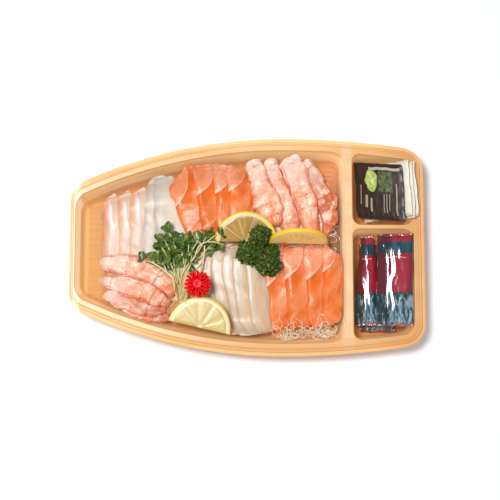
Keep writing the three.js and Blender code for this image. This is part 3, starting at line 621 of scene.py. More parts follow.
def tray_skin(sheet):
    """The tray's upper face, from the foot of its skirt in to the pockets' floors."""
    skin = Solid(closed=False)
    lip_top = RIM_TOP - LIP_DROP
    flange = HULL.moved(LIP["bow"], LIP["stern"], LIP["far"])
    rings = [
        HULL.ring(lip_top - SKIRT),
        HULL.ring(lip_top - 1.0),
        HULL.moved(0.12).ring(lip_top - 0.4),
        HULL.moved(0.5).ring(lip_top),
        flange.moved(-0.5).ring(lip_top - 0.1),
        flange.ring(lip_top + 0.1),
        flange.moved(0.35).ring(RIM_TOP - 0.8),
        flange.moved(0.6).ring(RIM_TOP - 0.2),
        flange.moved(0.9).ring(RIM_TOP),
    ]
    for share, down in ((1.2, 0), (1.45, GROOVE), (1.85, GROOVE), (2.1, 0), (2.25, 0)):
        rings.append(flange.moved(share, share * 1.4, share * 1.9).ring(RIM_TOP - down))
    count = len(rings[0])
    loops = [(skin.rings(rings)[-1], count)]
    for plan, lean in POCKETS.values():
        starts = skin.rings(list(pocket_rings(plan, lean, sheet)))
        loops.append((starts[0], count))
        skin.plane([(starts[-1], count)])
    skin.plane(loops)
    return skin


def wood_print(settings):
    """Light printed wood: long soft bands with finer grain lines, all along the tray, with painted shade,
    painted light and a painted glow in zones.
    """
    f = Finish("Printed wood")
    x, y, z = f.split(f.place())
    warp = f.noise(f.place((4, 14, 14)), 1.0, 2.0)
    across = y + z * 0.9 + warp * 0.02
    broad = f.noise(f.join(x * 2.2, across * 60), 1.0, 2.0)
    fine = f.noise(f.join(x * 5, across * 420), 1.0, 3.0, 0.6)
    pores = f.noise(f.join(x * 24, across * 1300), 1.0, 2.0)
    # Zones, in millimetres. The walls and the floor at the bow are told from the outside by facing up.
    facing = f.split(f.node("TexCoord", output="Normal"))[2]
    inside = f.step(facing, -0.06, 0.02)
    walls = f.past(z, RIM_TOP - 0.1, RIM_TOP - 0.6) * inside
    # Painted shade: the wood low in the pockets is made darker and more orange.
    deep = f.past(z, 16, 7)
    end = f.past(x, -165, -163.5)
    # Painted light: the upper part of the bow wall is made pale and bright.
    bow_wall_light = f.past(x, -157, -160) * end * f.past(z, 7, 12) * walls
    # The floor at the bow gets its own paler colour in place of the painted shade of the deep wood, with
    # grain lines over it.
    bow_floor = f.past(x, -138, -144) * end * f.past(z, 11, 6) * inside
    # Painted light: the foot of the bow wall, where the wall's shadow falls, is made lighter.
    foot = bow_floor * f.past(x, -153, -157)
    # Painted highlight: the outer lip at the bow end is made paler, where the key light falls on it.
    bow_lip_light = f.past(x, -154, -163) * f.past(z, RIM_TOP - 4, RIM_TOP - 1) * (1 - walls)
    shaded = f.past(x, 72, 84) * f.past(x, 92, 90) * f.past(y, -90, -60) * f.past(y, 88, 20)
    # Painted light: the far walls are made lighter.
    far_wall_light = f.past(y, 64, 80) * f.past(z, 8, 18) * walls
    web = f.past(x, 88, 92) * f.past(x, 102, 98) * (1 - walls)
    # Painted highlight: a pale cream band down the main pocket's stern wall.
    aft_wall_highlight = f.past(x, 87, 90.5) * f.past(x, 95, 93.6) * f.past(z, 9, 20) * walls
    # Painted shade: the wood is darker towards the stern and towards the near side.
    aft_and_near_shade = f.past(x, 110, 164) * 0.6 + f.past(y, -70, -98) * 0.4
    # Painted shade: darker in the step between the lip and the rim's top.
    lip_step_shade = f.past(z, RIM_TOP - 0.1, RIM_TOP - 0.5) * f.past(z, RIM_TOP - LIP_DROP, RIM_TOP - 2.2)
    colour = f.coats(
        settings.wood,
        (f.step(broad, 0.62, 0.38) * 0.8, settings.pale),
        (f.step(fine, 0.52, 0.72) * 0.4, settings.grain),
        (f.step(pores, 0.56, 0.75) * 0.22, settings.grain),
        (deep * (1 - f.step(fine, 0.42, 0.6) * 0.15), settings.low),
        (deep * f.step(fine, 0.5, 0.64) * 0.4, shade(settings.low, 0.72)),
        (bow_wall_light * 0.85, "#ffedcc"),
        (bow_floor * 0.9, "#ca985f"),
        (bow_floor * f.step(fine, 0.42, 0.66) * 0.4, "#b57f45"),
        (foot * 0.75, "#e2b474"),
        (bow_lip_light * 0.7, "#f9e8ce"),
        (shaded * walls * 0.75, "#984a1c"),
        (far_wall_light * 0.3, "#f6c98e"),
        (web * 0.3, "#eed2b6"),
        (aft_and_near_shade, settings.grain),
        (lip_step_shade * 0.45, settings.grain),
    )
    # Painted light: the tray glows by emission, most on its walls and least where the painted shadow lies.
    lit = f.past(z, 1.5, 7) * f.past(z, RIM_TOP - 0.5, RIM_TOP - 3) * (1 - shaded)
    glow = f.mix(lit * 0.8 + 0.2, (0, 0, 0), f.mix(0.5, colour, settings.glow))
    # Painted highlight on the main pocket's stern wall.
    colour = f.mix(aft_wall_highlight * f.past(abs(y), 89, 85) * 0.6, colour, "#fbe3c0")
    normal = f.relief(f.noise(f.place(), 240, 2.0), 0.06, 0.5)
    light = {"Emission_Color": glow, "Emission_Strength": SHEET_GLOW}
    return f.done(f.skin(colour, deep * 0.4 + 0.34, normal, Specular_IOR_Level=0.35, **light))


def build_tray(settings):
    skin = tray_skin(settings.sheet / MM)
    heap.add(skin)
    show("tray_shell", skin, wood_print(settings), ["tray"], "tray", shell=settings.sheet / MM)


# ---- Clear insert --------------------------------------------------------------------------------

INSERT_PLAN = Outline(-142, 90.4, ("hull", 14.8), ("hull", 14.8), [12, 14, 12, 14])
INSERT_RUN = {"bow": 1.0, "stern": 1.7, "far": 3.8, "near": 2.2}  # how far each step goes in
INSERT_RISE = (INSERT_LIP - INSERT_FLOOR) / (INSERT_STEPS + 1)


def insert_skin():
    """The stepped wall from its lip down to its floor."""
    profile = [(-0.6, INSERT_LIP - 0.3), (-0.3, INSERT_LIP), (0.0, INSERT_LIP - 0.15)]
    for step in range(INSERT_STEPS + 1):
        foot = INSERT_LIP - INSERT_RISE * (step + 1)
        profile += [(step, foot + INSERT_RISE * 0.75), (step, foot + 0.7), (step + 0.06, foot + 0.15)]
        if step < INSERT_STEPS:
            profile += [(step + 0.25, foot), (step + 0.75, foot), (step + 0.94, foot - 0.15)]
        else:
            profile += [(step + 0.3, foot), (step + 1.2, foot)]
    rings = []
    for share, z in profile:
        plan = INSERT_PLAN.moved(*(INSERT_RUN[wall] * share for wall in ("bow", "stern", "far", "near")))
        rings.append(plan.ring(z, 10, 30))
    skin = Solid(closed=False)
    count = len(rings[0])
    starts = skin.rings(rings, [np.full((count, 2), (share, 0)) for share, _ in profile])
    skin.plane([(starts[-1], count)])
    return skin


def clear_sheet():
    """Thin clear plastic, hardly seen but for whitish lines at the edges of its steps, which are painted
    highlights, stronger towards the stern.
    """
    f = Finish("Clear sheet")
    see = f.node("BsdfTransparent", inputs={"Color": (1, 1, 1, 1)})
    facing = f.node("LayerWeight", inputs={"Blend": 0.3}, output=1)
    across, _ = f.map("Step")
    fold = f.math("FRACT", across)
    nosing_highlight = f.step(fold, 0.7, 0.86) + f.step(fold, 0.12, 0.02)
    haze = f.noise(f.place(), 40, 2.0)
    broken = f.step(f.noise(f.place(), 25, 2.0), 0.3, 0.6)
    body = f.skin("#fff3e0", 0.12, f.relief(haze, 0.3, 0.4), Specular_IOR_Level=0.8)
    # Painted highlight: the whitish body shows along the step edges, more towards the stern.
    aft = f.past(f.split(f.place())[0], 20, 60) * 0.8 + 0.2
    share = facing * 0.03 + 0.006 + nosing_highlight * (broken * 0.11 + 0.03) * aft
    return f.done(f.node("MixShader", inputs={0: share, 1: see, 2: body}))


def build_insert(settings):
    skin = insert_skin()
    heap.add(skin)
    thickness = settings.insert_sheet / MM
    show("clear_insert", skin, clear_sheet(), ["insert"], "clear", "Step", shell=thickness)


# ---- Slices of fish ------------------------------------------------------------------------------

ACROSS = crowded(27)  # places across a slice
TAIL_BLUNT = 4  # the least fullness of a slice's tail


def loaf(solid, xs, ys, low, high, maps):
    """A closed body over rows of places: low and high are its two faces, which meet at the sides."""
    columns = xs.shape[1]
    middle = (low + high) / 2
    low, high = low.copy(), high.copy()
    for side in (0, -1):
        low[:, side] = high[:, side] = middle[:, side]
    back = slice(columns - 2, 0, -1)
    ring_x = np.concatenate([xs, xs[:, back]], 1)
    ring_y = np.concatenate([ys, ys[:, back]], 1)
    ring_z = np.concatenate([high, low[:, back]], 1)
    u, v = maps
    ring_maps = np.stack([np.concatenate([m, m[:, back]], 1) for m in (u, v)], 2)
    rings = np.stack([ring_x, ring_y, ring_z], 2)
    starts = solid.rings(list(rings), list(ring_maps))
    solid.close(starts, rings, [ring_maps[end].mean(0) for end in (0, -1)])


def unit(vector):
    return np.asarray(vector, float) / np.linalg.norm(vector)


class Cut:
    """How one kind of fish is sliced: its thickness, its outline and how its upper face rolls."""

    ROWS = 72

    def __init__(self, thick, roll, bow, point, edge, stiffness, blunt, soft=0.5, start=0.0, tip=0.35):
        self.thick = thick
        self.roll = roll
        self.bow = bow  # how far the slice curves sideways, in mm
        self.point = point  # how wide its ends are, as a share
        self.edge = edge  # how full it is across: larger is fuller
        self.stiffness = stiffness
        self.blunt = blunt  # how full its head is: larger is fuller
        self.soft = soft  # how gently its sides come down
        self.start = start  # where the map across the slice starts
        self.tip = tip  # how thick its ends are, as a share

    def lay(self, row, seed):
        """Lays one slice on the heap. row holds its head x and y, tail x and y, width and skew."""
        head_x, head_y, tail_x, tail_y, width, skew = row
        run = np.array([tail_x - head_x, tail_y - head_y])
        reach = np.linalg.norm(run)
        along = run / reach
        across = np.array([-along[1], along[0]])
        rng = np.random.default_rng(seed)
        u = (crowded(self.ROWS) + 1) / 2
        end = rounded(2 * u - 1, np.where(u < 0.5, self.blunt, max(self.blunt, TAIL_BLUNT)))
        half = width / 2 * (self.point + (1 - self.point) * end) * (1 + 0.035 * waves(seed, u * 2.2, count=4))
        u, v = np.meshgrid(u, ACROSS, indexing="ij")
        ragged = 0.6 * waves(seed + 50, v * 1.1, count=4) * np.abs(2 * u - 1) ** 6
        drift = (self.bow + rng.uniform(-0.8, 0.8)) * np.sin(math.pi * u)
        drift += 0.6 * waves(seed + 9, u * 1.7, count=3)
        forward = u * reach + skew * v * (1 - u) ** 1.5 + ragged
        sideways = drift + v * half[:, None]
        xs = head_x + along[0] * forward + across[0] * sideways
        ys = head_y + along[1] * forward + across[1] * sideways
        thin = self.tip + (1 - self.tip) * end[:, None]
        dome = rounded(v, self.edge, self.soft)
        thick = self.thick * rng.uniform(0.92, 1.08) * thin * dome
        low = heap.drape(xs, ys, self.stiffness)
        shift = rng.uniform(-0.05, 0.05)
        high = low + thick + self.roll(u + shift, v, seed) * dome * end[:, None]
        solid = Solid()
        maps = (u + shift, self.start + (1 - self.start) * (v + 1) / 2)
        loaf(solid, xs, ys, low, np.maximum(high, low + 0.1 * dome), maps)
        heap.add(solid)
        return solid


def fan_out(stem, table, cuts, material, slot, seed):
    """Lays slices side by side, each on the last one's edge."""
    for k, (name, row, cut) in enumerate(zip(node_names(stem), table, cuts)):
        show(f"{stem}_slice_{k + 1}", cut.lay(row, seed * 10 + k), material, [name], slot, "Slice")


def node_names(stem):
    """The frame's nodes of one kind, in the order in which they are laid."""
    return sorted(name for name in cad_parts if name.rsplit("_", 1)[0] == stem)


# Each line is one slice: its head x and y, its tail x and y, its width, and how far its head slants.
BREAM = [
    (-132, 49, -129.5, -20, 22, -3),
    (-118.5, 53, -115, -19, 21, -2),
    (-105.5, 55.5, -103.5, -18, 24, -3),
    (-87, 66, -91, -12, 22, -4),
    (-82, 68.5, -84, -11, 31, -1),
    (-75.5, 68, -71, -8, 34, 2),
]
RIDGED = 3  # the first slices of bream keep a ridge and a pink edge
SALMON_UPPER = [
    (-65, 70.5, -43, 11, 32, -6),
    (-39.5, 79.5, -28, 10, 29, 1),
    (-21.5, 80, -15, 11, 27, 1.5),
    (-8.5, 76.5, -5, 15, 25, 4),
]
SALMON_LOWER = [
    (27, -1, 38, -79, 29, -3),
    (45.5, 1, 54, -76, 29, 0),
    (66.5, 1.5, 73, -75, 28, 1),
    (80.5, -1, 80, -72, 18, 4),
]
FLOUNDER = [
    (-31.5, -4, -16, -76, 33, -3),
    (-20, 1, -6, -82, 37, -2),
    (-8, 0, 6, -83, 37, 1),
    (2, -2, 12, -82, 34, 5),
    (10, -13, 18, -80, 24, 6),
]
FAT_ALONG, FAT_START = 2.0, 0.2  # how many fat lines a slice of salmon has, and where they begin


def fat_sweep(v):
    """How far a fat line runs up a slice as it crosses from its near edge, 0, to its far one, 1."""
    return 0.45 * v + 0.9 * v**4


def salmon_roll(u, v, seed):
    """Each flake rises to its fat line and falls away behind it, less so towards the tail."""
    flake = (FAT_ALONG * u + fat_sweep((v + 1) / 2) + FAT_START) % 1
    crest = soft_step(flake, 0.25, 0.9) - soft_step(flake, 0.97, 1.0) * 0.35
    after = 0.65 * (1 - soft_step(flake, 0.0, 0.22))
    calm = 1 - 0.6 * soft_step(u, 0.4, 0.75)
    grain = 0.1 * waves(seed, u * 9, v * 2) + 0.05 * waves(seed + 1, u * 26, v * 7)
    return 1.2 * (crest + after) * calm - 0.4 + 0.4 * (1 - calm) + grain


def ridged_roll(u, v, seed):
    """A soft ridge that is narrow and high at the head and fades down the slice."""
    ridge = np.exp(-(((v + 0.12) / 0.3) ** 2)) * (0.12 + 0.88 * (1 - soft_step(u, 0.1, 0.55)))
    return 1.4 * ridge + 0.12 * waves(seed, u * 1.5, v * 1.2)


def smooth_roll(u, v, seed):
    return 0.16 * waves(seed, u * 1.2, v * 0.9)


def streaky_roll(u, v, seed):
    """Long folds that run down the slice."""
    return 0.2 * waves(seed, u * 0.7, v * 1.8) + 0.07 * waves(seed + 2, u * 1.0, v * 5.5)


def moist(f, colour, roughness, normal, weight, reach, glow=0.0):
    """Wet flesh: a little light comes back out of it, and glow is emission, painted light that stands in for
    the light that comes through it.
    """
    return f.skin(
        colour,
        roughness,
        normal,
        Subsurface_Weight=weight,
        Subsurface_Radius=(reach, reach * 0.45, reach * 0.25),
        Subsurface_Scale=MM,
        Specular_IOR_Level=0.4,
        Emission_Color=rgba(colour),
        Emission_Strength=glow,
    )


def salmon_flesh(settings, name, late):
    """late is how much of a fat line is left towards the tail."""
    f = Finish(name)
    u, v = f.map("Slice")
    place = f.place()
    wobble = f.noise(place, 60, 2.0) - 0.5
    flake = f.math("FRACT", u * FAT_ALONG + fat_sweep(v) + FAT_START + wobble * 0.14)
    near = f.step(v, 0.75, 0.1)
    fibre = f.noise(f.join(u * 5 + v * 9, v * 46 - u * 20), 1.0, 3.0, 0.6)
    hatch = f.noise(f.join(u * 22 + v * 10, u * 60 - v * 34), 1.0, 2.0, 0.6)
    cloud = f.noise(place, 45, 3.0)
    # Painted sheen: paler flats on the rise before each fat line, some hatched pinkish white.
    pale = f.step(flake, 0.26, 0.6) * f.step(u, 0.9, 0.4) * f.step(cloud, 0.25, 0.55)
    # Painted sheen: pinkish-white hatching near the head.
    head_sheen = f.step(f.noise(place, 28, 2.0), 0.42, 0.62) * f.step(u, 0.4, 0.1)
    tail = f.step(u, 0.5, 0.9) * f.step(cloud, 0.4, 0.62)
    thick = near * 0.08 + 0.03
    line = f.step(flake, 0.985 - thick, 1.0 - thick * 0.6) * f.step(flake, 1.0, 0.975)
    worn = f.step(f.noise(f.join(u * 5, v * 4), 1.0, 3.0), 0.38, 0.58) * 0.7 + 0.3
    kept = f.step(u, 0.72, 0.42) * (1 - late) + late
    colour = f.coats(
        shade(settings.salmon, 0.85),
        (f.step(cloud, 0.3, 0.7), settings.salmon),
        (pale * 0.75, settings.salmon_sheen),
        (head_sheen * f.step(hatch, 0.36, 0.62) * 0.7, "#f2c0ae"),
        (pale * f.step(hatch, 0.5, 0.7) * 0.5, "#efb9ae"),
        (f.step(fibre, 0.52, 0.75) * 0.22, settings.salmon_fat),
        (tail * 0.4, "#efa876"),
        (line * worn * kept * (near * 0.3 + 0.6), settings.salmon_fat),
        # Painted shade: the slope just behind each fat line is darker.
        (f.step(flake, 0.1, 0.0) * 0.5 * kept, shade(settings.salmon, 0.62)),
    )
    height = hatch * 0.6 + fibre * 0.5
    return f.done(moist(f, colour, 0.34, f.relief(height, 0.16, 0.5), weight=0.15, reach=2.0))


def bream_flesh(settings):
    """Pale flesh with a pink skin side and a white ridge, both stronger towards the head."""
    f = Finish("Bream")
    u, v = f.map("Slice")
    streak = f.noise(f.join(u * 2.2, v * 9), 1.0, 3.0, 0.55)
    cloud = f.noise(f.place(), 60, 3.0)
    fine = f.noise(f.join(u * 9.0, v * 50), 1.0, 2.0, 0.6)
    upper = f.step(u, 0.6, 0.1)
    edge = f.step(v, 0.5, 0.42)
    skin = f.step(v + cloud * 0.1, 0.36, 0.14)
    ridge = f.step(v, 0.24, 0.36) * f.step(v, 0.58, 0.46)
    blush = f.step(streak, 0.46, 0.62) * upper * edge
    colour = f.coats(
        settings.bream,
        (f.step(cloud, 0.35, 0.65) * 0.45, "#e8cebe"),
        (skin * (upper * 0.6 + 0.36), settings.bream_edge),
        (ridge * edge * (upper * 0.75 + 0.1), "#f5eaee"),
        (f.step(u, 0.12, 0.03) * 0.8, "#dfae90"),
        (f.step(v, 0.5, 0.56) * 0.5, "#efd4bd"),
        (blush * 0.4, "#e6ab8e"),
        (f.step(fine, 0.52, 0.7) * 0.16, "#f8efe6"),
    )
    normal = f.relief(streak + fine * 0.4, 0.15, 0.25)
    return f.done(moist(f, colour, 0.4, normal, weight=0.45, reach=4.0))


def flounder_flesh(settings):
    """White flesh with fine lines down the slice."""
    f = Finish("Flounder")
    u, v = f.map("Slice")
    streak = f.noise(f.join(u * 1.6, v * 9), 1.0, 3.0, 0.6)
    fine = f.noise(f.join(u * 3.0, v * 52), 1.0, 3.0, 0.6)
    # Painted highlight: a pale band near one edge of each slice.
    ridge = f.step(v, 0.02, 0.1) * f.step(v, 0.3, 0.16)
    low = f.step(v, 0.6, 0.95) * 0.15 + f.step(u, 0.5, 0.9) * 0.2
    colour = f.coats(
        settings.flounder,
        (f.step(streak, 0.44, 0.62) * 0.4, "#d9c6b0"),
        (ridge * 0.35, "#e4dcd6"),
        (f.step(fine, 0.55, 0.66) * 0.6, "#ece7e4"),
        (f.step(fine, 0.46, 0.34) * 0.25, "#c89f78"),
        (low, "#d9ac80"),
    )
    normal = f.relief(streak * 0.7 + fine * 0.5, 0.25, 0.4)
    return f.done(moist(f, colour, 0.34, normal, weight=0.45, reach=4.0))


def lay_bream(settings):
    thick = settings.thickness / MM
    ridged = Cut(
        thick * 0.42, ridged_roll, bow=3, point=0.42, edge=2, stiffness=200, blunt=2.2, soft=0.6, tip=0.8
    )
    smooth = Cut(
        thick * 0.16, smooth_roll, bow=0, point=0.5, edge=2, stiffness=420, blunt=4.5, soft=1.2, start=0.5
    )
    cuts = [ridged] * RIDGED + [smooth] * (len(BREAM) - RIDGED)
    fan_out("bream", BREAM, cuts, bream_flesh(settings), "bream", seed=21)


def lay_salmon(settings, stem, table, seed, late):
    flesh = salmon_flesh(settings, stem.replace("_", " ").capitalize(), late)
    thick = settings.thickness / MM
    cut = Cut(thick * 0.9, salmon_roll, bow=1.5, point=0.62, edge=4, stiffness=90, blunt=8)
    fan_out(stem, table, [cut] * len(table), flesh, "salmon", seed)


def lay_flounder(settings):
    thick = settings.thickness / MM
    cut = Cut(thick * 0.46, streaky_roll, bow=-1, point=0.5, edge=2, stiffness=320, blunt=5, soft=0.8)
    fan_out("flounder", FLOUNDER, [cut] * len(FLOUNDER), flounder_flesh(settings), "flounder", seed=23)


# ---- Shrimps -------------------------------------------------------------------------------------

# Spines run from the head end to the tail; widths are given at even steps along them.
SHRIMPS_UPPER = [
    ([(20, 85), (28, 69), (35.5, 52), (40, 33), (43, 10)], [12, 14, 15, 20, 18], 9),
    ([(54, 83), (66, 66), (75, 48), (79, 31), (75.5, 12)], [11, 17, 19, 15, 6], 9),
    ([(4.5, 84), (10.5, 67), (16.5, 52), (22, 37), (28, 21)], [19, 15, 23, 24, 15], 11),
    ([(40, 87), (47, 70), (55, 49.5), (60, 33), (63.5, 10)], [21, 20, 20, 18, 15], 10),
]
SHRIMPS_LOWER = [
    ([(-140, -13), (-119, -16), (-98, -22), (-81, -32), (-70, -46)], [13, 20, 23, 19, 12], 9),
    ([(-120, -56), (-107, -61), (-96, -64), (-85, -66), (-74, -67)], [6, 10, 12, 11, 7], 6),
    ([(-137, -43), (-120, -49), (-104, -55), (-90, -58), (-78, -59)], [11, 16, 17, 15, 9], 8),
    ([(-140, -30), (-119, -35), (-99, -41), (-86, -48), (-75, -54)], [9, 17, 18, 15, 9], 9),
]
SHRIMP_RINGS = 5.5
SHRIMP_ROWS = 110
SHRIMP_STIFFNESS = 60
SHRIMP_SEEDS = {"shrimp_upper": 40, "shrimp_lower": 50}


def through(points, share):
    """Places on a smooth curve through points, at shares of its points from 0 to 1."""
    points = np.asarray(points, float)
    last = len(points) - 1
    at = np.clip(np.asarray(share) * last, 0, last - 1e-9)
    k = at.astype(int)
    t = (at - k)[..., None]
    a, b = points[np.maximum(k - 1, 0)], points[k]
    c, d = points[k + 1], points[np.minimum(k + 2, last)]
    return b + 0.5 * t * (c - a + t * (2 * a - 5 * b + 4 * c - d + t * (3 * (b - c) + d - a)))


def headings(points):
    """Level directions along and across a run of places."""
    along = np.gradient(points[:, :2], axis=0)
    along /= np.linalg.norm(along, axis=1)[:, None]
    return along, np.stack([-along[:, 1], along[:, 0]], 1)


def lay_shrimp(spine, widths, thick, seed):
    """Lays one shrimp on the heap, ringed, with ragged sides and a cleft towards its tail."""
    u = (crowded(SHRIMP_ROWS, 0.45) + 1) / 2
    middle = through(spine, u)
    _, across = headings(middle)
    ring = (u * SHRIMP_RINGS + 0.3) % 1
    plate = soft_step(ring, 0.0, 0.8) - soft_step(ring, 0.86, 1.0)
    ends = rounded(2 * u - 1, 6)
    half = np.interp(u * (len(widths) - 1), range(len(widths)), widths) / 2
    half = half * (0.3 + 0.7 * ends) * (1.06 + 0.09 * plate + 0.08 * waves(seed + 7, u * 2.6, count=3))
    uu, vv = np.meshgrid(u, ACROSS, indexing="ij")
    ragged = 0.8 * waves(seed, uu * 4, vv * 0.8, count=4) + 0.35 * waves(seed + 8, uu * 13, vv)
    sideways = vv * half[:, None] + ragged * np.abs(vv) ** 3 * np.sign(vv)
    xs = middle[:, :1] + across[:, :1] * sideways
    ys = middle[:, 1:] + across[:, 1:] * sideways
    floor = heap.drape(xs, ys, SHRIMP_STIFFNESS)
    body = thick * (0.3 + 0.7 * ends[:, None]) * np.clip(half[:, None] / 8, 0.5, 1)
    dome = rounded(vv, 2, 0.62)
    fleshy = 0.7 * waves(seed + 1, uu * 3.2, vv * 1.1) + 0.32 * waves(seed + 2, uu * 8, vv * 3)
    cleft = -0.9 * np.exp(-(((vv - 0.25 * np.sin(3 * uu + seed)) / 0.12) ** 2)) * soft_step(uu, 0.2, 0.5)
    low = floor + 0.06 * body * vv**4
    high = low + body * dome * (0.91 + 0.15 * plate[:, None]) + (fleshy + cleft) * dome
    solid = Solid()
    loaf(solid, xs, ys, low, np.maximum(high, low + 0.3), (uu, (vv + 1) / 2))
    heap.add(solid)
    return solid


def shrimp_meat(settings, name, meat, rim_share):
    """Boiled meat, whiter at the head, with bands, dark threads and redder rims."""
    f = Finish(name)
    u, v = f.map("Slice")
    place = f.place()
    wobble = f.noise(place, 140, 3.0, 0.6) - 0.5
    blotch = f.noise(place, 75, 3.0, 0.55)
    mottle = f.noise(place, 110, 3.0)
    fibre = f.noise(f.join(u * 60 + v * 8, v * 5), 1.0, 2.0, 0.6)
    ring = f.math("FRACT", u * SHRIMP_RINGS + 0.3 + wobble * 0.5)
    seam = f.step(ring, 0.9, 0.96) * f.step(ring, 1.0, 0.97)
    thread = f.cells(f.join(u * 3.6 + wobble * 1.4, v * 3.6 + wobble), 1.0, "DISTANCE_TO_EDGE")
    side = abs(v - 0.5)
    rim = abs(side + wobble * 0.12 - 0.4)
    blush = f.step(f.noise(place, 55, 2.0), 0.6, 0.72)
    colour = f.coats(
        meat,
        (f.step(mottle, 0.42, 0.64) * 0.8, "#f6dece"),
        (f.step(fibre, 0.5, 0.7) * 0.3, "#f7e2d6"),
        (f.step(blotch, 0.48, 0.66) * 0.5, "#eca07a"),
        (f.step(side, 0.3, 0.5) * rim_share, "#d56c3e"),
        (f.step(u, 0.45, 0.05) * 0.7, "#f6e0d6"),
        (f.step(u, 0.74, 0.94) * 0.6, "#d8703f"),
        (seam * f.step(blotch, 0.48, 0.6) * 0.6, settings.shrimp_band),
        (f.step(thread, 0.028, 0.008) * f.step(blotch, 0.5, 0.6) * 0.8, "#b04028"),
        (f.step(rim, 0.03, 0.008) * f.step(blotch, 0.44, 0.54) * rim_share, "#bc4a2e"),
        (blush * f.step(mottle, 0.42, 0.6) * 0.45, "#ea7d86"),
    )
    # The glow adds a little painted light.
    return f.done(moist(f, colour, 0.3, f.relief(mottle, 0.3, 0.6), weight=0.6, reach=4.0, glow=0.06))


def lay_shrimps(settings):
    pale = shrimp_meat(settings, "Shrimp", settings.shrimp, rim_share=0.5)
    # The darker meat of the second upper shrimp is partly painted shade, partly its own deeper orange.
    dark = shrimp_meat(settings, "Dark shrimp", "#bd6738", rim_share=0.8)
    rimmed = shrimp_meat(settings, "Rimmed shrimp", shade(settings.shrimp, 0.9), rim_share=0.85)
    for stem, table in (("shrimp_upper", SHRIMPS_UPPER), ("shrimp_lower", SHRIMPS_LOWER)):
        for k, (name, (spine, widths, thick)) in enumerate(zip(node_names(stem), table)):
            solid = lay_shrimp(spine, widths, thick, SHRIMP_SEEDS[stem] + k)
            meat = rimmed if stem == "shrimp_lower" else dark if k == 1 else pale
            show(name.replace("shrimp", "shrimp_body"), solid, meat, [name], "shrimp", "Slice")


# ---- Threads and leaves --------------------------------------------------------------------------


def tube(solid, path, radius, sides=6):
    """A round thread along a path, closed at both ends."""
    along = np.gradient(path, axis=0)
    along /= np.maximum(np.linalg.norm(along, axis=1)[:, None], 1e-6)
    side = np.cross(along, (0, 0, 1)) + (1e-6, 0, 0)
    side /= np.linalg.norm(side, axis=1)[:, None]
    up = np.cross(side, along)
    angles, spokes = circle(sides)
    round_it = spokes[:, :1] * side[:, None] + spokes[:, 1:] * up[:, None]
    radii = np.broadcast_to(np.asarray(radius, float), len(path))
    maps = [np.column_stack([np.full(sides, t), angles / TAU]) for t in np.linspace(0, 1, len(path))]
    rings = path[:, None] + round_it * radii[:, None, None]
    solid.close(solid.rings(list(rings), maps), rings, [(0, 0), (1, 0)])


def rest_thread(path, radius, sag, stiffness=30):
    """Lets a thread down on the heap, where it bridges small gaps. Only the path's x and y are used."""
    floor = heap.top(path[:, 0], path[:, 1]) + radius + 0.05
    z = floor.copy()
    for _ in range(stiffness):
        wide = np.pad(z, 1, mode="edge")
        z = np.maximum(floor, (wide[2:] + wide[:-2]) / 2 - sag)
    return np.column_stack([path[:, :2], z])


LEAF_SIDES = 24
# Rings of a leaf from the middle of its upper face round its edge to the middle of its lower one:
# how far out, and on which face.
LEAF_LAYERS = [(0.3, 1), (0.62, 1), (0.88, 1), (1.0, 0), (0.88, -1), (0.62, -1), (0.3, -1)]
UNDERSIDE = 2  # what is added to the map's first number on the lower face


def leaf(solid, origin, axes, reach, lift, thickness):
    """A thin closed leaf. axes are its length, width and normal; reach gives its outline by angle."""
    angles, spokes = circle(LEAF_SIDES)
    rings, maps = [], []
    for share, side in LEAF_LAYERS:
        height = lift(share, angles) + side * thickness / 2
        flat = spokes * (reach(angles) * share)[:, None]
        rings.append(origin + np.column_stack([flat, height]) @ axes)
        maps.append(0.5 + 0.5 * share * spokes + (UNDERSIDE * (side < 0), 0))
    solid.close(solid.rings(rings, maps), rings, [(0.5, 0.5), (0.5 + UNDERSIDE, 0.5)])


def axes_of(heading, tilt, lean):
    """Length, width and normal of a leaf that points along heading and rises by tilt."""
    out = np.array([math.cos(heading), math.sin(heading), 0])
    side, up = np.array([-out[1], out[0], 0]), np.array([0, 0, 1.0])
    length_axis = math.cos(tilt) * out + math.sin(tilt) * up
    normal = -math.sin(tilt) * out + math.cos(tilt) * up
    width_axis = math.cos(lean) * side + math.sin(lean) * normal
    return np.array([length_axis, width_axis, np.cross(length_axis, width_axis)])


# ---- Bed of radish shreds ------------------------------------------------------------------------

BED_BOW, BED_STERN, BED_INSET = -128, 76, 40
BED_STIFFNESS = 4
BED_ROWS, BED_COLUMNS = 150, 61
SHRED_RADIUS = 0.3
SHRED_STEPS = 26
WALL_INSET, BOW_LIMIT, STERN_LIMIT = 14.6, -139, 89  # how near the insert's wall a shred may come
# Where loose shreds lie: middle x and y, half the width and depth of the patch, share of all shreds.
SHRED_PATCHES = [
    (58, -82, 26, 4, 0.11),
    (-36, -4, 9, 7, 0.05),
    (28, 24, 8, 7, 0.05),
    (82, 4, 5, 34, 0.06),
    (3, 46, 7, 18, 0.2),
    (60, 18, 24, 14, 0.18),
    (-98, -42, 26, 18, 0.08),
]
WISP_PATCHES = [(58, -83, 20, 3, 0.12), (36, -84, 8, 3, 0.03)]


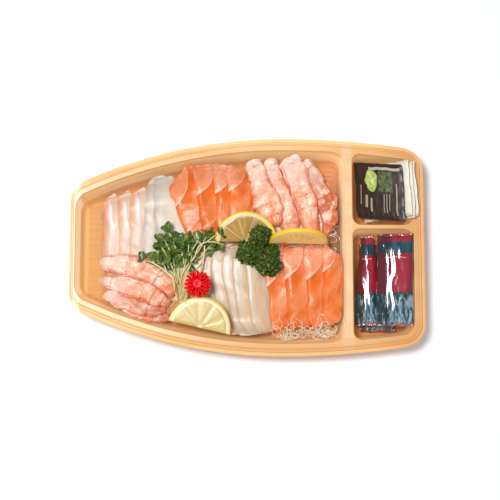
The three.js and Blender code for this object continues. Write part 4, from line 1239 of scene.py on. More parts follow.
def bed_core(solid):
    """The lumpy middle of the bed, which the shreds lie on."""
    share = np.linspace(0, 1, BED_ROWS)
    x = BED_BOW + (BED_STERN - BED_BOW) * share
    ends = rounded(2 * share - 1, 14)
    half = np.array([edge_height(a, ("hull", BED_INSET)) for a in x]) * (0.55 + 0.45 * ends)
    uu, vv = np.meshgrid(share, crowded(BED_COLUMNS), indexing="ij")
    xs, ys = np.broadcast_to(x[:, None], uu.shape), vv * half[:, None]
    floor = heap.drape(xs, ys, BED_STIFFNESS)
    dome = rounded(vv, 8) * (0.4 + 0.6 * ends[:, None])
    lumps = 0.6 * waves(5, xs / 22, ys / 22) + 0.35 * waves(6, xs / 5, ys / 5)
    loaf(solid, xs, ys, floor, floor + (BED_DEPTH + lumps - 0.5) * dome, (uu, (vv + 1) / 2))


def lay_bed(settings):
    solid = Solid()
    bed_core(solid)
    heap.add(solid)
    strew(solid, SHRED_PATCHES, settings.strands, seed=8)
    show("radish_shreds", solid, radish_threads(settings), ["daikon_bed"], "daikon", "Thread")


def strew(solid, patches, strands, seed):
    """Lets loose shreds fall on the heap in patches."""
    rng = np.random.default_rng(seed)
    run = np.linspace(-0.5, 0.5, SHRED_STEPS)
    for x, y, wide, deep, share in patches:
        for _ in range(int(strands * share)):
            reach = rng.uniform(12, 32)
            bend = rng.uniform(-1, 1) * reach / rng.uniform(4, 12)
            heading = rng.uniform(0, TAU) + bend * 2 * run
            heading = heading + 0.6 * waves(int(rng.integers(1 << 30)), run * 1.8)
            step = reach / (len(run) - 1)
            path = np.cumsum(np.column_stack([np.cos(heading), np.sin(heading)]) * step, axis=0)
            path += (x + wide * rng.uniform(-1, 1), y + deep * rng.uniform(-1, 1)) - path.mean(0)
            path = keep_inside(path, rng.uniform(0, 6))
            radius = SHRED_RADIUS * rng.uniform(0.75, 1.15)
            strand = rest_thread(path, radius, sag=rng.uniform(0.0, 0.02))
            tube(solid, strand, radius, sides=5)
            heap.raise_to(strand + (0, 0, radius * 0.8))
    heap.wide = None


def lay_wisps(settings):
    """A few shreds that lie over the tails of the near salmon."""
    solid = Solid()
    strew(solid, WISP_PATCHES, settings.strands, seed=9)
    radish = bpy.data.materials["Radish"]
    show("radish_wisps", solid, radish, ["daikon_bed"], "daikon", "Thread")


def keep_inside(path, clear):
    """Moves a path in from the wall of the clear insert."""
    places = np.clip(path[:, 0], BOW_LIMIT + 1, STERN_LIMIT - 1)
    limit = np.array([edge_height(x, ("hull", WALL_INSET + clear)) for x in places])
    path[:, 0] -= max(path[:, 0].max() - STERN_LIMIT + clear, 0)
    path[:, 0] += max(BOW_LIMIT + clear - path[:, 0].min(), 0)
    path[:, 1] -= max((path[:, 1] - limit).max(), 0) - max((-limit - path[:, 1]).max(), 0)
    return path


def radish_threads(settings):
    """Moist white shreds with a faint grain."""
    f = Finish("Radish")
    place = f.place()
    x, y, _ = f.split(place)
    cloud = f.noise(place, 90, 3.0)
    warp = f.noise(place, 60, 2.0) * 0.05
    fibre = f.noise(f.join((x + warp) * 420, (y + warp) * 900), 1.0, 2.0)
    colour = f.coats(
        settings.radish,
        (f.step(cloud, 0.4, 0.7), "#f8efdf"),
        (f.step(fibre, 0.55, 0.35) * 0.3, "#dcc3a0"),
    )
    return f.done(moist(f, colour, 0.34, f.relief(fibre, 0.4, 0.5), weight=0.3, reach=1.5))


# ---- Lemons --------------------------------------------------------------------------------------

LEMON_THICK = 5.0
LEMON_ROWS, LEMON_COLUMNS = 110, 41
SEGMENTS = 5.0  # in a half slice
LEMON_UPPER = {"x": -1, "y": 5.5, "radius": 29.5, "seed": 1, "pitch": 0.2}
LEMON_MIDDLE = {"x": 49, "y": 5, "radius": 28, "seed": 2, "pitch": 1.25, "roll": -0.05}
LEMON_LOWER = {"x": -44.8, "y": -77, "radius": 29.5, "seed": 3, "pitch": 0.05, "turn": -0.23}


def turned(points, lean=0.0, pitch=0.0, turn=0.0, roll=0.0):
    """Points rolled in their plane, leaned about y, pitched about x and then turned about z."""
    columns = list(np.transpose(points))
    for angle, a, b in ((roll, 0, 1), (-lean, 2, 0), (pitch, 1, 2), (turn, 0, 1)):
        c, s = math.cos(angle), math.sin(angle)
        p, q = columns[a], columns[b]
        columns[a], columns[b] = c * p - s * q, s * p + c * q
    return np.column_stack(columns)


def put_down(solid, x, y, **angles):
    """Turns a stiff piece and sets it down on the heap at x and y."""
    points = turned(np.concatenate(solid.points), **angles) + (x, y, 0)
    points[:, 2] += heap.settle(points)
    solid.points = [points]
    heap.add(solid)
    return solid


def half_slice(radius, seed):
    """Half a slice of lemon, lying flat with its rind towards +y."""
    u, s = np.linspace(0, math.pi, LEMON_ROWS), crowded(LEMON_COLUMNS)
    wobble = 1 + 0.012 * waves(seed, u / 2, count=4)
    xs = np.broadcast_to((-np.cos(u) * wobble)[:, None], (len(u), len(s)))
    ys = (np.sin(u) * wobble)[:, None] * (s + 1)[None, :] / 2
    share = np.clip(np.hypot(xs, ys), 0, 1)
    angle = np.arctan2(ys, xs) / math.pi * SEGMENTS
    seam = np.abs((angle + 0.02 * seed) % 1 - 0.5) * 2
    pulp = soft_step(share, 0.1, 0.3) * (1 - soft_step(share, 0.8, 0.86))
    swell = 0.3 * pulp * (1 - seam**3) + 0.03 * waves(seed + 1, angle * 2.5, share * 2) * pulp
    thick = LEMON_THICK / 2 * rounded(s, 16)[None, :] * (1 - 0.1 * soft_step(share, 0.94, 1.0))
    solid = Solid()
    loaf(solid, xs * radius, ys * radius, -thick - swell * 0.6, thick + swell, (xs, ys))
    return solid


def cut_lemon(settings, name, flesh, deep, rind_colour, glow=0.0):
    """Flesh in segments, with pale seams, a pale ring and a pored rind."""
    f = Finish(name)
    x, y = f.map("Cut")
    share = f.math("SQRT", x * x + y * y)
    angle = f.math("ARCTAN2", y, x) * (SEGMENTS / math.pi)
    wobble = f.noise(f.join(x, y), 4.0, 2.0) - 0.5
    seam = abs(f.math("FRACT", angle + wobble * 0.12) - 0.5) * 2.0
    drops = f.noise(f.join(angle * 6.0, share * 2.6), 1.0, 1.5, 0.5, 0.4)
    edge = share + wobble * 0.03
    colour = f.coats(
        flesh,
        (f.step(drops, 0.36, 0.64), deep),
        (f.step(drops, 0.6, 0.76) * 0.05, "#fff9df"),
        (f.step((1 - seam) * share, 0.045, 0.012) * 0.6, settings.pith),
        (f.step(share, 0.13, 0.06) * 0.8, settings.pith),
        (f.step(edge, 0.82, 0.88), shade(settings.pith, 0.84)),
        (f.step(edge, 0.9, 0.96), rind_colour),
    )
    height = f.mix(f.step(share, 0.93, 0.97), drops * 0.4, f.cells(f.place(), 700))
    return f.done(moist(f, colour, 0.3, f.relief(height, 0.16, 0.5), weight=0.25, reach=2.5, glow=glow))


def lay_lemon(stem, finish, x, y, radius, seed, **angles):
    solid = put_down(half_slice(radius, seed), x, y, **angles)
    show(stem.replace("_", "_half_"), solid, finish, [stem], "lemon", "Cut")


def lay_lemons(settings):
    tan = cut_lemon(settings, "Lemon in shade", "#ba8e44", "#a47a32", settings.rind)
    # The lemon on its edge gets a little painted light as glow.
    hazy = cut_lemon(settings, "Lemon on edge", "#efcb80", "#e6b862", "#e8c032", glow=0.08)
    lay_lemon("lemon_upper", tan, **LEMON_UPPER)
    lay_lemon("lemon_middle", hazy, **LEMON_MIDDLE)


def lay_front_lemon(settings):
    bright = cut_lemon(settings, "Lemon", settings.flesh, shade(settings.flesh, 0.92), "#dcc268")
    lay_lemon("lemon_lower", bright, **LEMON_LOWER)


# ---- Sprouts, parsley and flower -----------------------------------------------------------------

STEM_FOOT = (-62, -49)
STEM_RADIUS = 0.7
STEM_STEPS = 26
WAIST_Y = -28  # y at which the stems of the bunch begin to spread
SPROUT_SEED = 12
STRAY_RISE = 4.0  # how high a stray stem arches
CROWN_STEMS = 66
CROWN_X, CROWN_Y, CROWN_WIDE, CROWN_DEEP = -67, -3, 18, 14
# Where the stems in sight end, each in a pair of leaves.
SPROUT_LEAVES = [
    (-75.2, 15.2), (-65.7, 10.5), (-55.2, 12.4), (-73.3, 4.3), (-82.8, 1.9), (-87.5, -7.6),
    (-62.8, 0.0), (-56.1, 3.8), (-75.7, -7.6), (-69.9, -5.2), (-74.2, -12.8), (-70.4, -16.7),
    (-85.6, -13.3), (-50.4, -7.6), (-44.7, -1.9), (-39.0, 9.5), (-35.2, 2.4), (-38.1, -4.7),
    (-80.9, 0.0), (-66.6, -9.0), (-79, -2), (-68, 4), (-60, 7), (-64, -14), (-58, -10),
    (-76, -19), (-70, -21), (-63, -20), (-80, -15), (-57, -15), (-66, -17), (-46, 8), (-41, 4), (-38, 10),
]
# Long stems that stand apart: the places they pass and where their leaves are.
STRAY_STEMS = [
    ([(-65, -44), (-63.8, -33.3), (-61.9, -24.7), (-57.1, -16.7), (-50.8, -10.4), (-47.6, -1.4),
      (-43.8, 3.1), (-38.6, 5.0), (-29.1, 12.0)], (-25.7, 12.4)),
    ([(-43.8, 3.1), (-38.6, 5.0), (-30, 4.4), (-22.1, 2.4)], (-25.7, 2.4)),
    ([(-50, -36), (-43.8, -21.9), (-41.2, -5.2), (-40.6, 1.0), (-41.9, 12.4)], (-38.1, 16.2)),
    ([(-69, -42), (-70.4, -29.5), (-80.9, -20.5), (-90.4, -14.8), (-97, -12)], (-99.9, -10.9)),
    ([(-66, -38), (-69.9, -20.0), (-65, -14), (-60.3, -8.5)], (-62, -5)),
]


def heart(size, narrow):
    """The outline of a sprout's leaf, notched at its tip."""

    def reach(angles):
        away = np.minimum(angles, TAU - angles)
        oval = 1 / np.sqrt(np.cos(angles) ** 2 + (np.sin(angles) / narrow) ** 2)
        return size * oval * (1 - 0.22 * np.exp(-((away / 0.35) ** 2)))

    return reach


def cupped(size, fold, seed):
    rng = np.random.default_rng(seed)
    turn, wave = rng.uniform(0, TAU), rng.uniform(0.05, 0.14)

    def lift(share, angles):
        return size * share**2 * (fold * np.abs(np.sin(angles)) + wave * np.sin(3 * angles + turn))

    return lift


def end_of(path):
    """The heading in which a stem ends."""
    return math.atan2(path[-1, 1] - path[-4, 1], path[-1, 0] - path[-4, 0])


def leaf_pair(solid, x, y, z, heading, rng, size):
    for side in (-1, 1):
        axes = axes_of(heading + side * rng.uniform(0.3, 1.4), rng.uniform(-0.7, 1.1), rng.uniform(-1.1, 1.1))
        own = size * rng.uniform(0.8, 1.2)
        origin = np.array([x, y, z]) + axes[0] * own * 0.85
        lift = cupped(own, rng.uniform(0.15, 0.55), int(rng.integers(1 << 30)))
        leaf(solid, origin, axes, heart(own, rng.uniform(0.62, 0.85)), lift, thickness=0.45)


def lay_sprouts(settings):
    rng = np.random.default_rng(SPROUT_SEED)
    stems, leaves = Solid(), Solid()
    base = heap.top(*STEM_FOOT)
    share = np.linspace(0, 1, STEM_STEPS)
    for x, y in crown_places(rng):
        foot = np.array(STEM_FOOT) + (rng.uniform(-5, 5), rng.uniform(-5, 2))
        waist = (foot[0] - 1 + rng.uniform(-4, 4), WAIST_Y)
        path = through([foot, waist, (x * 0.6 + foot[0] * 0.4, y - 13), (x, y)], share)
        rise = rng.uniform(1.5, 12)
        z = base + 1 + (heap.top(x, y) + rise - base - 1) * share**1.8 + 1.5 * np.sin(math.pi * share)
        z = np.maximum(z, heap.top(path[:, 0], path[:, 1]) + STEM_RADIUS)
        for merge in (np.max, np.mean):
            z = merge([np.interp(share + shift, share, z) for shift in np.linspace(-0.1, 0.1, 5)], axis=0)
        path = np.column_stack([path, z])
        tube(stems, path, STEM_RADIUS * (1.1 - 0.4 * share))
        heading = end_of(path) + rng.uniform(-1.2, 1.2)
        leaf_pair(leaves, x, y, path[-1, 2], heading, rng, rng.uniform(3.2, 5.8))
    for places, (x, y) in STRAY_STEMS:
        path = rest_thread(through(places, share), STEM_RADIUS + 0.2, sag=0, stiffness=90)
        path[:, 2] += 1 + STRAY_RISE * np.sin(math.pi * share) ** 0.8
        tube(stems, path, STEM_RADIUS * (1.15 - 0.3 * share))
        leaf_pair(leaves, x, y, path[-1, 2] + 0.5, end_of(path), rng, 3.6)
    heap.add(stems)
    heap.add(leaves)
    show("sprout_stems", stems, stem_flesh(settings), ["sprouts"], "sprouts", "Thread")
    show("sprout_leaves", leaves, sprout_green(settings), ["sprouts"], "sprouts", "Leaf")


def crown_places(rng):
    """Where the stems of the bunch end: the listed places, with more scattered between them."""
    places = list(SPROUT_LEAVES)
    while len(places) < CROWN_STEMS:
        x, y = rng.uniform(-1, 1, 2)
        if x * x + y * y < 1:
            places.append((CROWN_X + CROWN_WIDE * x, CROWN_Y + CROWN_DEEP * y - 4 * x))
    return places


def stem_flesh(settings):
    """Pale stems that turn green towards the leaves."""
    f = Finish("Stem")
    u, _ = f.map("Thread")
    cloud = f.noise(f.place((1, 0.2, 1)), 260, 2.0)
    colour = f.coats(
        settings.stem,
        (f.step(u, 0.15, 0.6), "#d9d29c"),
        (f.step(u, 0.7, 1.0) * 0.7, "#98a85c"),
        (f.step(cloud, 0.45, 0.7) * 0.5, "#f6f4dc"),
    )
    return f.done(moist(f, colour, 0.32, f.relief(cloud, 0.15, 0.5), weight=0.3, reach=1.5))


def sprout_green(settings):
    """Dark glossy leaves with faint veins and a paler underside."""
    f = Finish("Sprout leaf")
    x, y = f.map("Leaf")
    cloud = f.noise(f.place(), 160, 3.0)
    away = abs(y - 0.5)
    branch = abs(f.math("FRACT", x * 5 - away * 4) - 0.5)
    veins = f.step(branch, 0.07, 0.0) * f.step(away, 0.0, 0.08)
    colour = f.coats(
        settings.leaf,
        (f.step(cloud, 0.35, 0.7), "#668322"),
        (f.step(away, 0.05, 0.015) * 0.5, "#94a871"),
        (veins * 0.25, "#7b9260"),
        (f.step(x, 1.4, 1.6) * 0.8, "#788c42"),
    )
    return f.done(f.skin(colour, 0.26, f.relief(veins * -0.5 + cloud, 0.2, 0.5), Specular_IOR_Level=0.55))


# Lobes of the parsley: x, y, radius and height; the last one stands in the middle of them.
PARSLEY_LOBES = [
    (12.5, 11, 9.5, 17), (2, -4, 12, 20), (20.5, -16, 12, 20), (23, -4, 8, 15), (11.5, -5, 9.5, 20),
]
PARSLEY_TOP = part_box("parsley")[1].z / MM
PARSLEY_LEAVES = 470
PARSLEY_SEED = 31
CORE_SIDES, CORE_LEVELS = 22, 9


def lay_parsley(settings):
    rng = np.random.default_rng(PARSLEY_SEED)
    solid = Solid()
    spread = sum(radius**2 for _, _, radius, _ in PARSLEY_LOBES)
    for x, y, radius, rise in PARSLEY_LOBES:
        under = (x, y) + circle(6)[1] * radius * 0.5
        base = float(np.median(heap.top(under[:, 0], under[:, 1])))
        rise = min(rise, PARSLEY_TOP - 2 - base)
        core_of_curls(solid, x, y, base, radius * 0.78, rise * 0.8, rng)
        for _ in range(int(PARSLEY_LEAVES * radius**2 / spread)):
            angle, height = rng.uniform(0, TAU), rng.uniform(0.05, 1) ** 0.8
            level = math.sqrt(1 - height**2)
            out = np.array([math.cos(angle) * level, math.sin(angle) * level, height])
            wide = radius * (1 + 0.13 * math.sin(5 * angle + x) * level)
            origin = np.array([x, y, base]) + out * (wide, wide, rise) * rng.uniform(0.72, 0.96)
            origin[2] = max(origin[2], float(heap.top(origin[0], origin[1])) + 1.5)
            curl(solid, origin, unit(out + rng.normal(size=3) * 0.55), rng.uniform(2.2, 3.8), rng)
    heap.add(solid)
    show("parsley_curls", solid, parsley_green(settings), ["parsley"], "parsley", "Leaf")


def curl(solid, origin, normal, size, rng):
    """One frilled leaflet."""
    helper = unit(np.cross(normal, rng.normal(size=3)))
    axes = np.array([helper, np.cross(normal, helper), normal])
    phase, other, frills = rng.uniform(0, TAU), rng.uniform(0, TAU), int(rng.integers(3, 5))

    def reach(angles):
        return size * (1 + 0.22 * np.sin(7 * angles + other) + 0.12 * np.sin(3 * angles + phase))

    def lift(share, angles):
        frill = 0.5 * share**1.5 * np.sin(frills * angles + phase)
        return size * (frill + 0.25 * share**2 * np.sin(7 * angles))

    leaf(solid, origin, axes, reach, lift, thickness=0.4)


def core_of_curls(solid, x, y, base, radius, rise, rng):
    """The dark inside of a lobe."""
    angles, spokes = circle(CORE_SIDES)
    rings = []
    for level in np.linspace(0.02, 1.45, CORE_LEVELS):
        lumps = 1 + 0.12 * np.sin(5 * angles + rng.uniform(0, TAU))
        ring = (x, y) + spokes * lumps[:, None] * radius * math.sin(level)
        height = base + 0.6 + rise * (1 - math.sin(level))
        rings.append(np.column_stack([ring, np.full(len(ring), height)]))
    solid.close(solid.rings(rings), rings)


def parsley_green(settings):
    """Dark curls with painted highlights: lighter, yellower edges and bright spots."""
    f = Finish("Parsley")
    x, y = f.map("Leaf")
    away = f.math("SQRT", (f.math("FRACT", x) - 0.5) ** 2 + (y - 0.5) ** 2)
    cloud = f.noise(f.place(), 420, 3.0)
    colour = f.coats(
        settings.parsley,
        (f.step(cloud, 0.36, 0.66), "#40560c"),
        # Painted highlights: lighter, yellower edges.
        (f.step(away, 0.34, 0.5) * 0.55, "#6f8a26"),
        # Painted highlights: bright spots.
        (f.step(cloud, 0.6, 0.7) * 0.6, "#b0c060"),
    )
    return f.done(f.skin(colour, 0.4, f.relief(cloud, 0.3, 0.6), Specular_IOR_Level=0.36))


FLOWER_X, FLOWER_Y = -46.4, -36
FLOWER_SEED = 77
# Tiers of rods: how many, inner and outer reach, height at the inner end, and drop outwards.
FLOWER_TIERS = [
    (20, 4, 13.2, 1.9, 0.8),
    (19, 3.5, 12.0, 4.0, 0.8),
    (17, 3, 10.0, 6.0, 0.4),
    (12, 2.5, 7.8, 7.6, 0.0),
]
ROD = 1.25  # radius of a rod near its blunt end
# Along a rod: how far out, and its radius as a share.
ROD_RUN = np.array([0, 0.3, 0.55, 0.78, 0.9, 0.97, 1.0])
ROD_GIRTH = np.array([0.62, 0.66, 0.74, 0.95, 1.05, 0.85, 0.4])
HEART_SIDES = 28
# The flower's heart from its foot up and in: how far out, and how high.
HEART = [(3.2, 3.0), (4.7, 6.5), (4.8, 7.6), (4.3, 8.4), (3.3, 8.7), (2.1, 8.5), (1.0, 8.2)]


def lay_flower(settings):
    rng = np.random.default_rng(FLOWER_SEED)
    solid = Solid()
    for tier, (count, inner, outer, height, drop) in enumerate(FLOWER_TIERS):
        for k in range(count):
            angle = (k + 0.5 * (tier % 2) + rng.uniform(-0.12, 0.12)) / count * TAU
            reach = ROD_RUN * (outer * rng.uniform(0.93, 1.03) - inner) + inner
            z = height - drop * (reach - inner) / (outer - inner) + rng.uniform(-0.25, 0.25)
            path = np.column_stack([math.cos(angle) * reach, math.sin(angle) * reach, z])
            tube(solid, path, ROD * ROD_GIRTH, sides=9)
    flower_heart(solid)
    put_down(solid, FLOWER_X, FLOWER_Y)
    show("flower_rods", solid, flower_gloss(settings), ["flower"], "flower", "Thread")


def flower_heart(solid):
    angles, spokes = circle(HEART_SIDES)
    rings, maps = [], []
    for reach, height in HEART:
        rings.append(np.column_stack([spokes * reach, height + 0.22 * np.cos(7 * angles + reach * 3)]))
        maps.append(np.column_stack([np.full(len(angles), 2 + reach / 5), angles / TAU]))
    solid.close(solid.rings(rings, maps), rings, [(2, 0), (2, 0)])


def flower_gloss(settings):
    """Red rods, darker towards their roots as painted shade, round a pinker heart."""
    f = Finish("Garnish flower")
    u, _ = f.map("Thread")
    cloud = f.noise(f.place(), 300, 2.0)
    colour = f.coats(
        settings.flower,
        # Painted shade: the rods are darker towards their roots.
        (f.step(u, 0.85, 0.3), shade(settings.flower, 0.75)),
        (f.step(u, 1.4, 1.6), "#d8182c"),
        (f.step(cloud, 0.5, 0.75) * 0.3, "#ff1c1c"),
    )
    return f.done(f.skin(colour, 0.3, f.relief(cloud, 0.1, 0.4), Specular_IOR_Level=0.12))


# ---- Sachets -------------------------------------------------------------------------------------

SEAL = 0.9  # thickness at a sachet's edge
PILLOW_ROWS, PILLOW_COLUMNS = 120, 60
# x, y, length, width, fill, lean, turn and slant of each sachet, in the order in which they lie.
PASTE_SACHETS = [
    (140.4, 53, 52, 52, 3, 0.69, 0.08, 0),
    (137, 52.5, 53, 51, 3, 0.65, 0.05, -0.03),
    (133, 53, 53, 51, 3, 0.6, 0.07, 0),
    (126.4, 52.6, 54, 49, 4, 0.5, 0.05, -0.19),
]
SOY_SACHETS = [
    (126, -38, 84, 34, 6, 0, 0.0, 0),
    (115.4, -31.5, 86, 26, 11, 0.2, 0, 0),
    (139.6, -32, 87, 34, 12, 0.1, -0.02, 0.04),
]
RED_BANDS = [(0.0, 0.02), (0.36, 0.78), (0.91, 1.0)]  # from and to along a soy sachet
# Plain bars in the print of a paste sachet: from and to across it, from and to along it.
PALE_BARS = [
    (0.1, 0.115, 0.25, 0.6), (0.2, 0.25, 0.2, 0.42), (0.31, 0.35, 0.14, 0.38),
    (0.6, 0.615, 0.12, 0.46), (0.66, 0.675, 0.12, 0.46), (0.72, 0.735, 0.16, 0.46), (0.86, 0.885, 0.1, 0.66),
]
SOY_TAPERS = [0, 0.5, 0.0]  # how much narrower the far end is, as a share of the width


def pillow(length_mm, width, fill, seed, creases, taper, slant):
    """A filled sachet lying flat, sealed round its edge and wrinkled by creases in mm."""
    u, v = np.meshgrid((crowded(PILLOW_ROWS, 0.5) + 1) / 2, crowded(PILLOW_COLUMNS, 0.6), indexing="ij")
    narrow = 1 - taper * soft_step(u, 0.35, 0.95)
    lengthwise = rounded(2.1 * (u - 0.5), 6)
    puff = lengthwise * rounded(v / 0.97, 2)
    depth = SEAL + (fill * (0.5 + 0.5 * narrow) - SEAL) * puff
    near_end = soft_step(np.abs(2 * u - 1), 0.3, 0.95)
    gathers = 0.55 * waves(seed, v * width / 9, u * 0.8, count=3) * near_end
    creased = 1 - np.abs(waves(seed + 1, v * width / 26, u * length_mm / 60, count=3))
    dent = 0.6 * waves(seed + 2, v * width / 34, u * length_mm / 34, count=3)
    relief = creases * (gathers * np.minimum(puff * 2.5, 1) + (0.5 * creased + dent) * puff)
    xs = v * width / 2 * narrow * (1 - 0.07 * puff) + 0.5 * waves(seed + 4, u * 1.4, count=3)
    ys = (u - 0.5) * length_mm + 0.5 * waves(seed + 5, v * 1.1, count=3) + slant * xs
    wave = 0.35 * waves(seed + 3, u * 3, v * 1.2, count=3) * (1 - puff)
    crimp = 0.1 * np.sin(v * width * 2.6) * (lengthwise < 0.35)
    solid = Solid()
    low = -depth / 2 + wave + crimp - relief * 0.4
    high = depth / 2 + wave + crimp + relief
    loaf(solid, xs, ys, low, np.maximum(high, low + 0.25), (u, (v + 1) / 2))
    return solid


def lay_sachets(names, table, finishes, slot_of, creases, seed, tapers):
    for k, (name, (x, y, long, wide, fill, lean, turn, slant)) in enumerate(zip(names, table)):
        flat = pillow(long, wide, fill, seed + 10 * k, creases, tapers[k], slant)
        solid = put_down(flat, x, y, lean=lean, turn=turn)
        show(name + "_film", solid, finishes[k], [name], slot_of[k], "Film")


def wrinkles(f, scale, depth):
    """Small folds in a thin film."""
    place = f.place()
    fold = f.noise(place, scale, 3.0, 0.5, 0.6)
    return f.relief(fold + f.noise(place, scale * 4, 2.0) * 0.25, depth, 0.7)


def soy_film(settings):
    """Glossy film over dark sauce, in bands, with painted shade darkening its sides and painted glints in
    pale streaks and crinkles.
    """
    f = Finish("Soy film")
    u, v = f.map("Film")
    streak = f.noise(f.join(v * 6, u * 2.2), 1.0, 3.0, 0.6, 0.5)
    # Painted shade: the sides of the sachet, and of its red bands, are darkened to near black.
    side = f.step(abs(v - 0.66), 0.16, 0.4) * 0.8
    # Painted glints: pale crinkles on the lower teal.
    crinkle_glint = f.step(f.noise(f.join(v * 9, u * 6), 1.0, 3.0, 0.6, 1.2), 0.46, 0.62) * f.step(u, 0.36, 0.3)
    red = f.mix(side + f.step(streak, 0.5, 0.66) * 0.2, settings.red, "#3c0c16")
    colour = f.coats(
        settings.teal,
        (f.step(streak, 0.42, 0.56) * 0.8, "#1d2a33"),
        # Painted glints: paler teal streaks.
        (f.step(streak, 0.6, 0.68) * 0.6, "#6fa3b8"),
        (side, "#12181e"),
        (crinkle_glint * 0.55, "#b0d2e0"),
        *((f.between(u, low, high), red) for low, high in RED_BANDS),
        (f.between(u, 0.735, 0.743) * f.between(v, 0.2, 0.8) * 0.7, "#e8b8b4"),
    )
    seal = f.step(abs(u - 0.5), 0.45, 0.475)
    gloss = {"Specular_IOR_Level": 0.6, "Coat_Weight": 0.6}
    return f.done(f.skin(colour, seal * 0.5 + 0.12, wrinkles(f, 14, 0.16), **gloss))


def dark_film(settings):
    """Dark printed film with a green heap, an olive patch and plain pale bars."""
    f = Finish("Paste film")
    u, v = f.map("Film")
    swirl = f.noise(f.join(u * 7, v * 7), 1.0, 3.0) - 0.5
    grain = f.noise(f.join(u * 14, v * 14), 1.0, 3.0)
    patch = f.between(u + swirl * 0.06, 0.5, 0.86, 0.02) * f.between(v + swirl * 0.05, 0.5, 0.8, 0.02)
    olive = f.mix(f.step(grain, 0.3, 0.7), "#2f3722", "#69764a")
    blob = f.math("SQRT", ((u - 0.69) * 0.95) ** 2 + ((v - 0.34) * 1.5) ** 2) + swirl * 0.16
    paste = f.mix(f.step(grain, 0.42, 0.6), shade(settings.paste, 0.7), settings.paste)
    bars = [f.between(v, low, high) * f.between(u, foot, reach) for low, high, foot, reach in PALE_BARS]
    colour = f.coats(
        settings.dark,
        (f.noise(f.place(), 60, 2.0), shade(settings.dark, 0.6)),
        (patch * 0.9, olive),
        (f.step(blob, 0.2, 0.18), paste),
        (f.step(blob, 0.15, 0.04) * f.step(swirl, -0.1, 0.15) * 0.7, "#dfe6a6"),
        (f.between(u, 0.885, 0.935) * f.between(v, 0.3, 0.95) * 0.65, "#cfc8ba"),
        *((bar * 0.6, "#cdb898") for bar in bars),
    )
    return f.done(f.skin(colour, 0.42, wrinkles(f, 45, 0.5), Specular_IOR_Level=0.3, Coat_Weight=0.06))


def plain_back(settings):
    """Pale paper with a darker seal at each end."""
    f = Finish("Sachet back")
    u, _ = f.map("Film")
    cloud = f.noise(f.place(), 120, 3.0)
    colour = f.coats(
        settings.paper,
        (f.step(cloud, 0.3, 0.7) * 0.4, shade(settings.paper, 0.82)),
        (f.step(abs(u - 0.5), 0.44, 0.46) * 0.5, "#c9b59a"),
    )
    return f.done(f.skin(colour, 0.4, wrinkles(f, 45, 0.6), Specular_IOR_Level=0.5))


def lay_all_sachets(settings):
    back, dark, soy = plain_back(settings), dark_film(settings), soy_film(settings)
    names = node_names("wasabi_sachet")
    last = len(names) - 1
    finishes = [dark if k == last else back for k in range(len(names))]
    slots = ["wasabi" if k == last else "paper" for k in range(len(names))]
    lay_sachets(names, PASTE_SACHETS, finishes, slots, creases=0.25, seed=300, tapers=[0] * len(names))
    names = node_names("soy_sachet")
    finishes, slots = [soy] * len(names), ["soy"] * len(names)
    lay_sachets(names, SOY_SACHETS, finishes, slots, creases=0.5, seed=400, tapers=SOY_TAPERS)


# ---- Stage ---------------------------------------------------------------------------------------

# Places and sizes here are in metres.
EYE = Vector((0.0028, -0.120, 1.022))
LOOKED_AT = Vector((0.0028, -0.0038, 0.032))
KEY_AT = Vector((-0.29, 0.10, 1.25))
KEY_SIZE = 0.3
STRIP_AT = Vector((0.53, -0.02, 1.1))
STRIP_SIZE = (0.032, 0.9)
FILL_AT = Vector((0.0, -0.95, 0.75))
FILL_SIZE = 0.7
FLOOR_HALF = 1.6
SKY_COLOUR = (0.98, 0.99, 1, 1)


def aim(thing, place):
    """Puts a light or the camera in its place and turns it to the plate."""
    thing.location = place
    thing.rotation_euler = (LOOKED_AT - place).to_track_quat("-Z", "Y").to_euler()


def floor_finish(settings):
    f = Finish("Floor")
    cloud = f.noise(f.place(), 3, 2.0)
    colour = f.mix(cloud * 0.4, settings.floor, shade(settings.floor, 0.985))
    return f.done(f.skin(colour, 0.9, Specular_IOR_Level=0.1))


def add_light(name, place, size, watts):
    lamp = bpy.data.lights.new(name, "AREA")
    lamp.shape = "RECTANGLE"
    lamp.size, lamp.size_y = size
    lamp.energy = watts
    aim(add_object(name, lamp), place)


def build_stage(settings):
    mesh = bpy.data.meshes.new("floor")
    corners = [(-1, -1), (1, -1), (1, 1), (-1, 1)]
    mesh.from_pydata([(x * FLOOR_HALF, y * FLOOR_HALF, 0) for x, y in corners], [], [(0, 1, 2, 3)])
    mesh.materials.append(floor_finish(settings))
    floor = add_object("floor", mesh)

    add_light("key", KEY_AT, (KEY_SIZE, KEY_SIZE), settings.key)
    add_light("strip", STRIP_AT, STRIP_SIZE, settings.strip)
    add_light("fill", FILL_AT, (FILL_SIZE, FILL_SIZE), settings.fill)

    world = bpy.data.worlds.new("even light")
    world.use_nodes = True
    background = world.node_tree.nodes["Background"]
    background.inputs["Color"].default_value = SKY_COLOUR
    background.inputs["Strength"].default_value = settings.sky
    bpy.context.scene.world = world

    lens = bpy.data.cameras.new("camera")
    lens.lens = settings.lens
    camera = add_object("camera", lens)
    aim(camera, EYE)
    bpy.context.scene.camera = camera
    bpy.context.scene.view_settings.view_transform = "Standard"


# ---- Add-on --------------------------------------------------------------------------------------


class SASHIMI_OT_stage(bpy.types.Operator):
    """Add the floor, the lights and the camera"""

    bl_idname = "sashimi.stage"
    bl_label = "Stage"

    def execute(self, context):
        build_stage(context.scene.sashimi_stage)
        return {"FINISHED"}


class SASHIMI_OT_tray(bpy.types.Operator):
    """Add the tray with its printed wood"""

    bl_idname = "sashimi.tray"
    bl_label = "Tray"

    def execute(self, context):
        build_tray(context.scene.sashimi_tray)
        return {"FINISHED"}


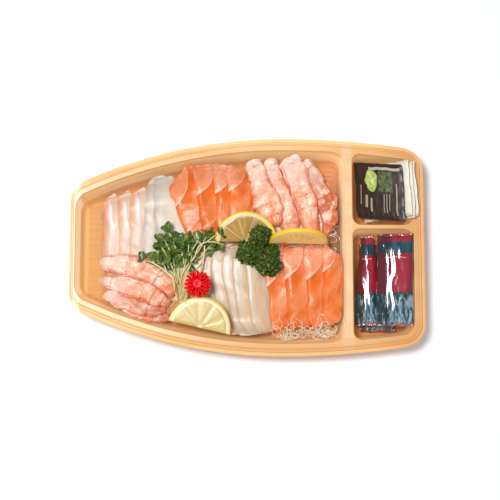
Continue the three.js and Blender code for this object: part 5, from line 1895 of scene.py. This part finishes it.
class SASHIMI_OT_insert(bpy.types.Operator):
    """Add the clear stepped insert"""

    bl_idname = "sashimi.insert"
    bl_label = "Clear Insert"

    def execute(self, context):
        build_insert(context.scene.sashimi_tray)
        return {"FINISHED"}


class SASHIMI_OT_bed(bpy.types.Operator):
    """Lay the bed of radish shreds"""

    bl_idname = "sashimi.bed"
    bl_label = "Radish Bed"

    def execute(self, context):
        lay_bed(context.scene.sashimi_garnish)
        return {"FINISHED"}


class SASHIMI_OT_bream(bpy.types.Operator):
    """Lay the slices of bream"""

    bl_idname = "sashimi.bream"
    bl_label = "Bream"

    def execute(self, context):
        lay_bream(context.scene.sashimi_fish)
        return {"FINISHED"}


class SASHIMI_OT_salmon_far(bpy.types.Operator):
    """Lay the far slices of salmon"""

    bl_idname = "sashimi.salmon_far"
    bl_label = "Far Salmon"

    def execute(self, context):
        lay_salmon(context.scene.sashimi_fish, "salmon_upper", SALMON_UPPER, seed=31, late=0.5)
        return {"FINISHED"}


class SASHIMI_OT_shrimps(bpy.types.Operator):
    """Lay both groups of shrimps"""

    bl_idname = "sashimi.shrimps"
    bl_label = "Shrimps"

    def execute(self, context):
        lay_shrimps(context.scene.sashimi_fish)
        return {"FINISHED"}


class SASHIMI_OT_lemons(bpy.types.Operator):
    """Set down the two far half slices of lemon"""

    bl_idname = "sashimi.lemons"
    bl_label = "Far Lemons"

    def execute(self, context):
        lay_lemons(context.scene.sashimi_garnish)
        return {"FINISHED"}


class SASHIMI_OT_flounder(bpy.types.Operator):
    """Lay the slices of flounder"""

    bl_idname = "sashimi.flounder"
    bl_label = "Flounder"

    def execute(self, context):
        lay_flounder(context.scene.sashimi_fish)
        return {"FINISHED"}


class SASHIMI_OT_salmon_near(bpy.types.Operator):
    """Lay the near slices of salmon"""

    bl_idname = "sashimi.salmon_near"
    bl_label = "Near Salmon"

    def execute(self, context):
        lay_salmon(context.scene.sashimi_fish, "salmon_lower", SALMON_LOWER, seed=32, late=0.12)
        return {"FINISHED"}


class SASHIMI_OT_wisps(bpy.types.Operator):
    """Strew loose radish shreds over the tails of the near salmon"""

    bl_idname = "sashimi.wisps"
    bl_label = "Loose Shreds"

    def execute(self, context):
        lay_wisps(context.scene.sashimi_garnish)
        return {"FINISHED"}


class SASHIMI_OT_garnish(bpy.types.Operator):
    """Add the near lemon, the sprouts, the parsley and the flower"""

    bl_idname = "sashimi.garnish"
    bl_label = "Garnish"

    def execute(self, context):
        settings = context.scene.sashimi_garnish
        lay_front_lemon(settings)
        lay_sprouts(settings)
        lay_parsley(settings)
        lay_flower(settings)
        return {"FINISHED"}


class SASHIMI_OT_sachets(bpy.types.Operator):
    """Add the sachets of paste and of soy sauce"""

    bl_idname = "sashimi.sachets"
    bl_label = "Sachets"

    def execute(self, context):
        lay_all_sachets(context.scene.sashimi_sachets)
        return {"FINISHED"}


STEPS = [
    SASHIMI_OT_stage,
    SASHIMI_OT_tray,
    SASHIMI_OT_insert,
    SASHIMI_OT_bed,
    SASHIMI_OT_bream,
    SASHIMI_OT_salmon_far,
    SASHIMI_OT_shrimps,
    SASHIMI_OT_lemons,
    SASHIMI_OT_flounder,
    SASHIMI_OT_salmon_near,
    SASHIMI_OT_wisps,
    SASHIMI_OT_garnish,
    SASHIMI_OT_sachets,
]
SETTINGS = {
    "sashimi_tray": TraySettings,
    "sashimi_fish": FishSettings,
    "sashimi_garnish": GarnishSettings,
    "sashimi_sachets": SachetSettings,
    "sashimi_stage": StageSettings,
}


class SASHIMI_PT_panel(bpy.types.Panel):
    """The settings, and the steps in the order in which the plate is laid"""

    bl_label = "Sashimi Plate"
    bl_idname = "SASHIMI_PT_panel"
    bl_space_type = "VIEW_3D"
    bl_region_type = "UI"
    bl_category = "Sashimi"

    def draw(self, context):
        for step in STEPS:
            self.layout.operator(step.bl_idname)
        for name, kind in SETTINGS.items():
            box = self.layout.box()
            for field in kind.__annotations__:
                box.prop(getattr(context.scene, name), field)


def register():
    for kind in (*SETTINGS.values(), *STEPS, SASHIMI_PT_panel):
        bpy.utils.register_class(kind)
    for name, kind in SETTINGS.items():
        setattr(bpy.types.Scene, name, PointerProperty(type=kind))


def unregister():
    for name in SETTINGS:
        delattr(bpy.types.Scene, name)
    for kind in (SASHIMI_PT_panel, *reversed(STEPS), *reversed(list(SETTINGS.values()))):
        bpy.utils.unregister_class(kind)


def main():
    register()
    for step in STEPS:
        getattr(bpy.ops.sashimi, step.bl_idname.split(".")[1])()


if __name__ == "__main__":
    main()
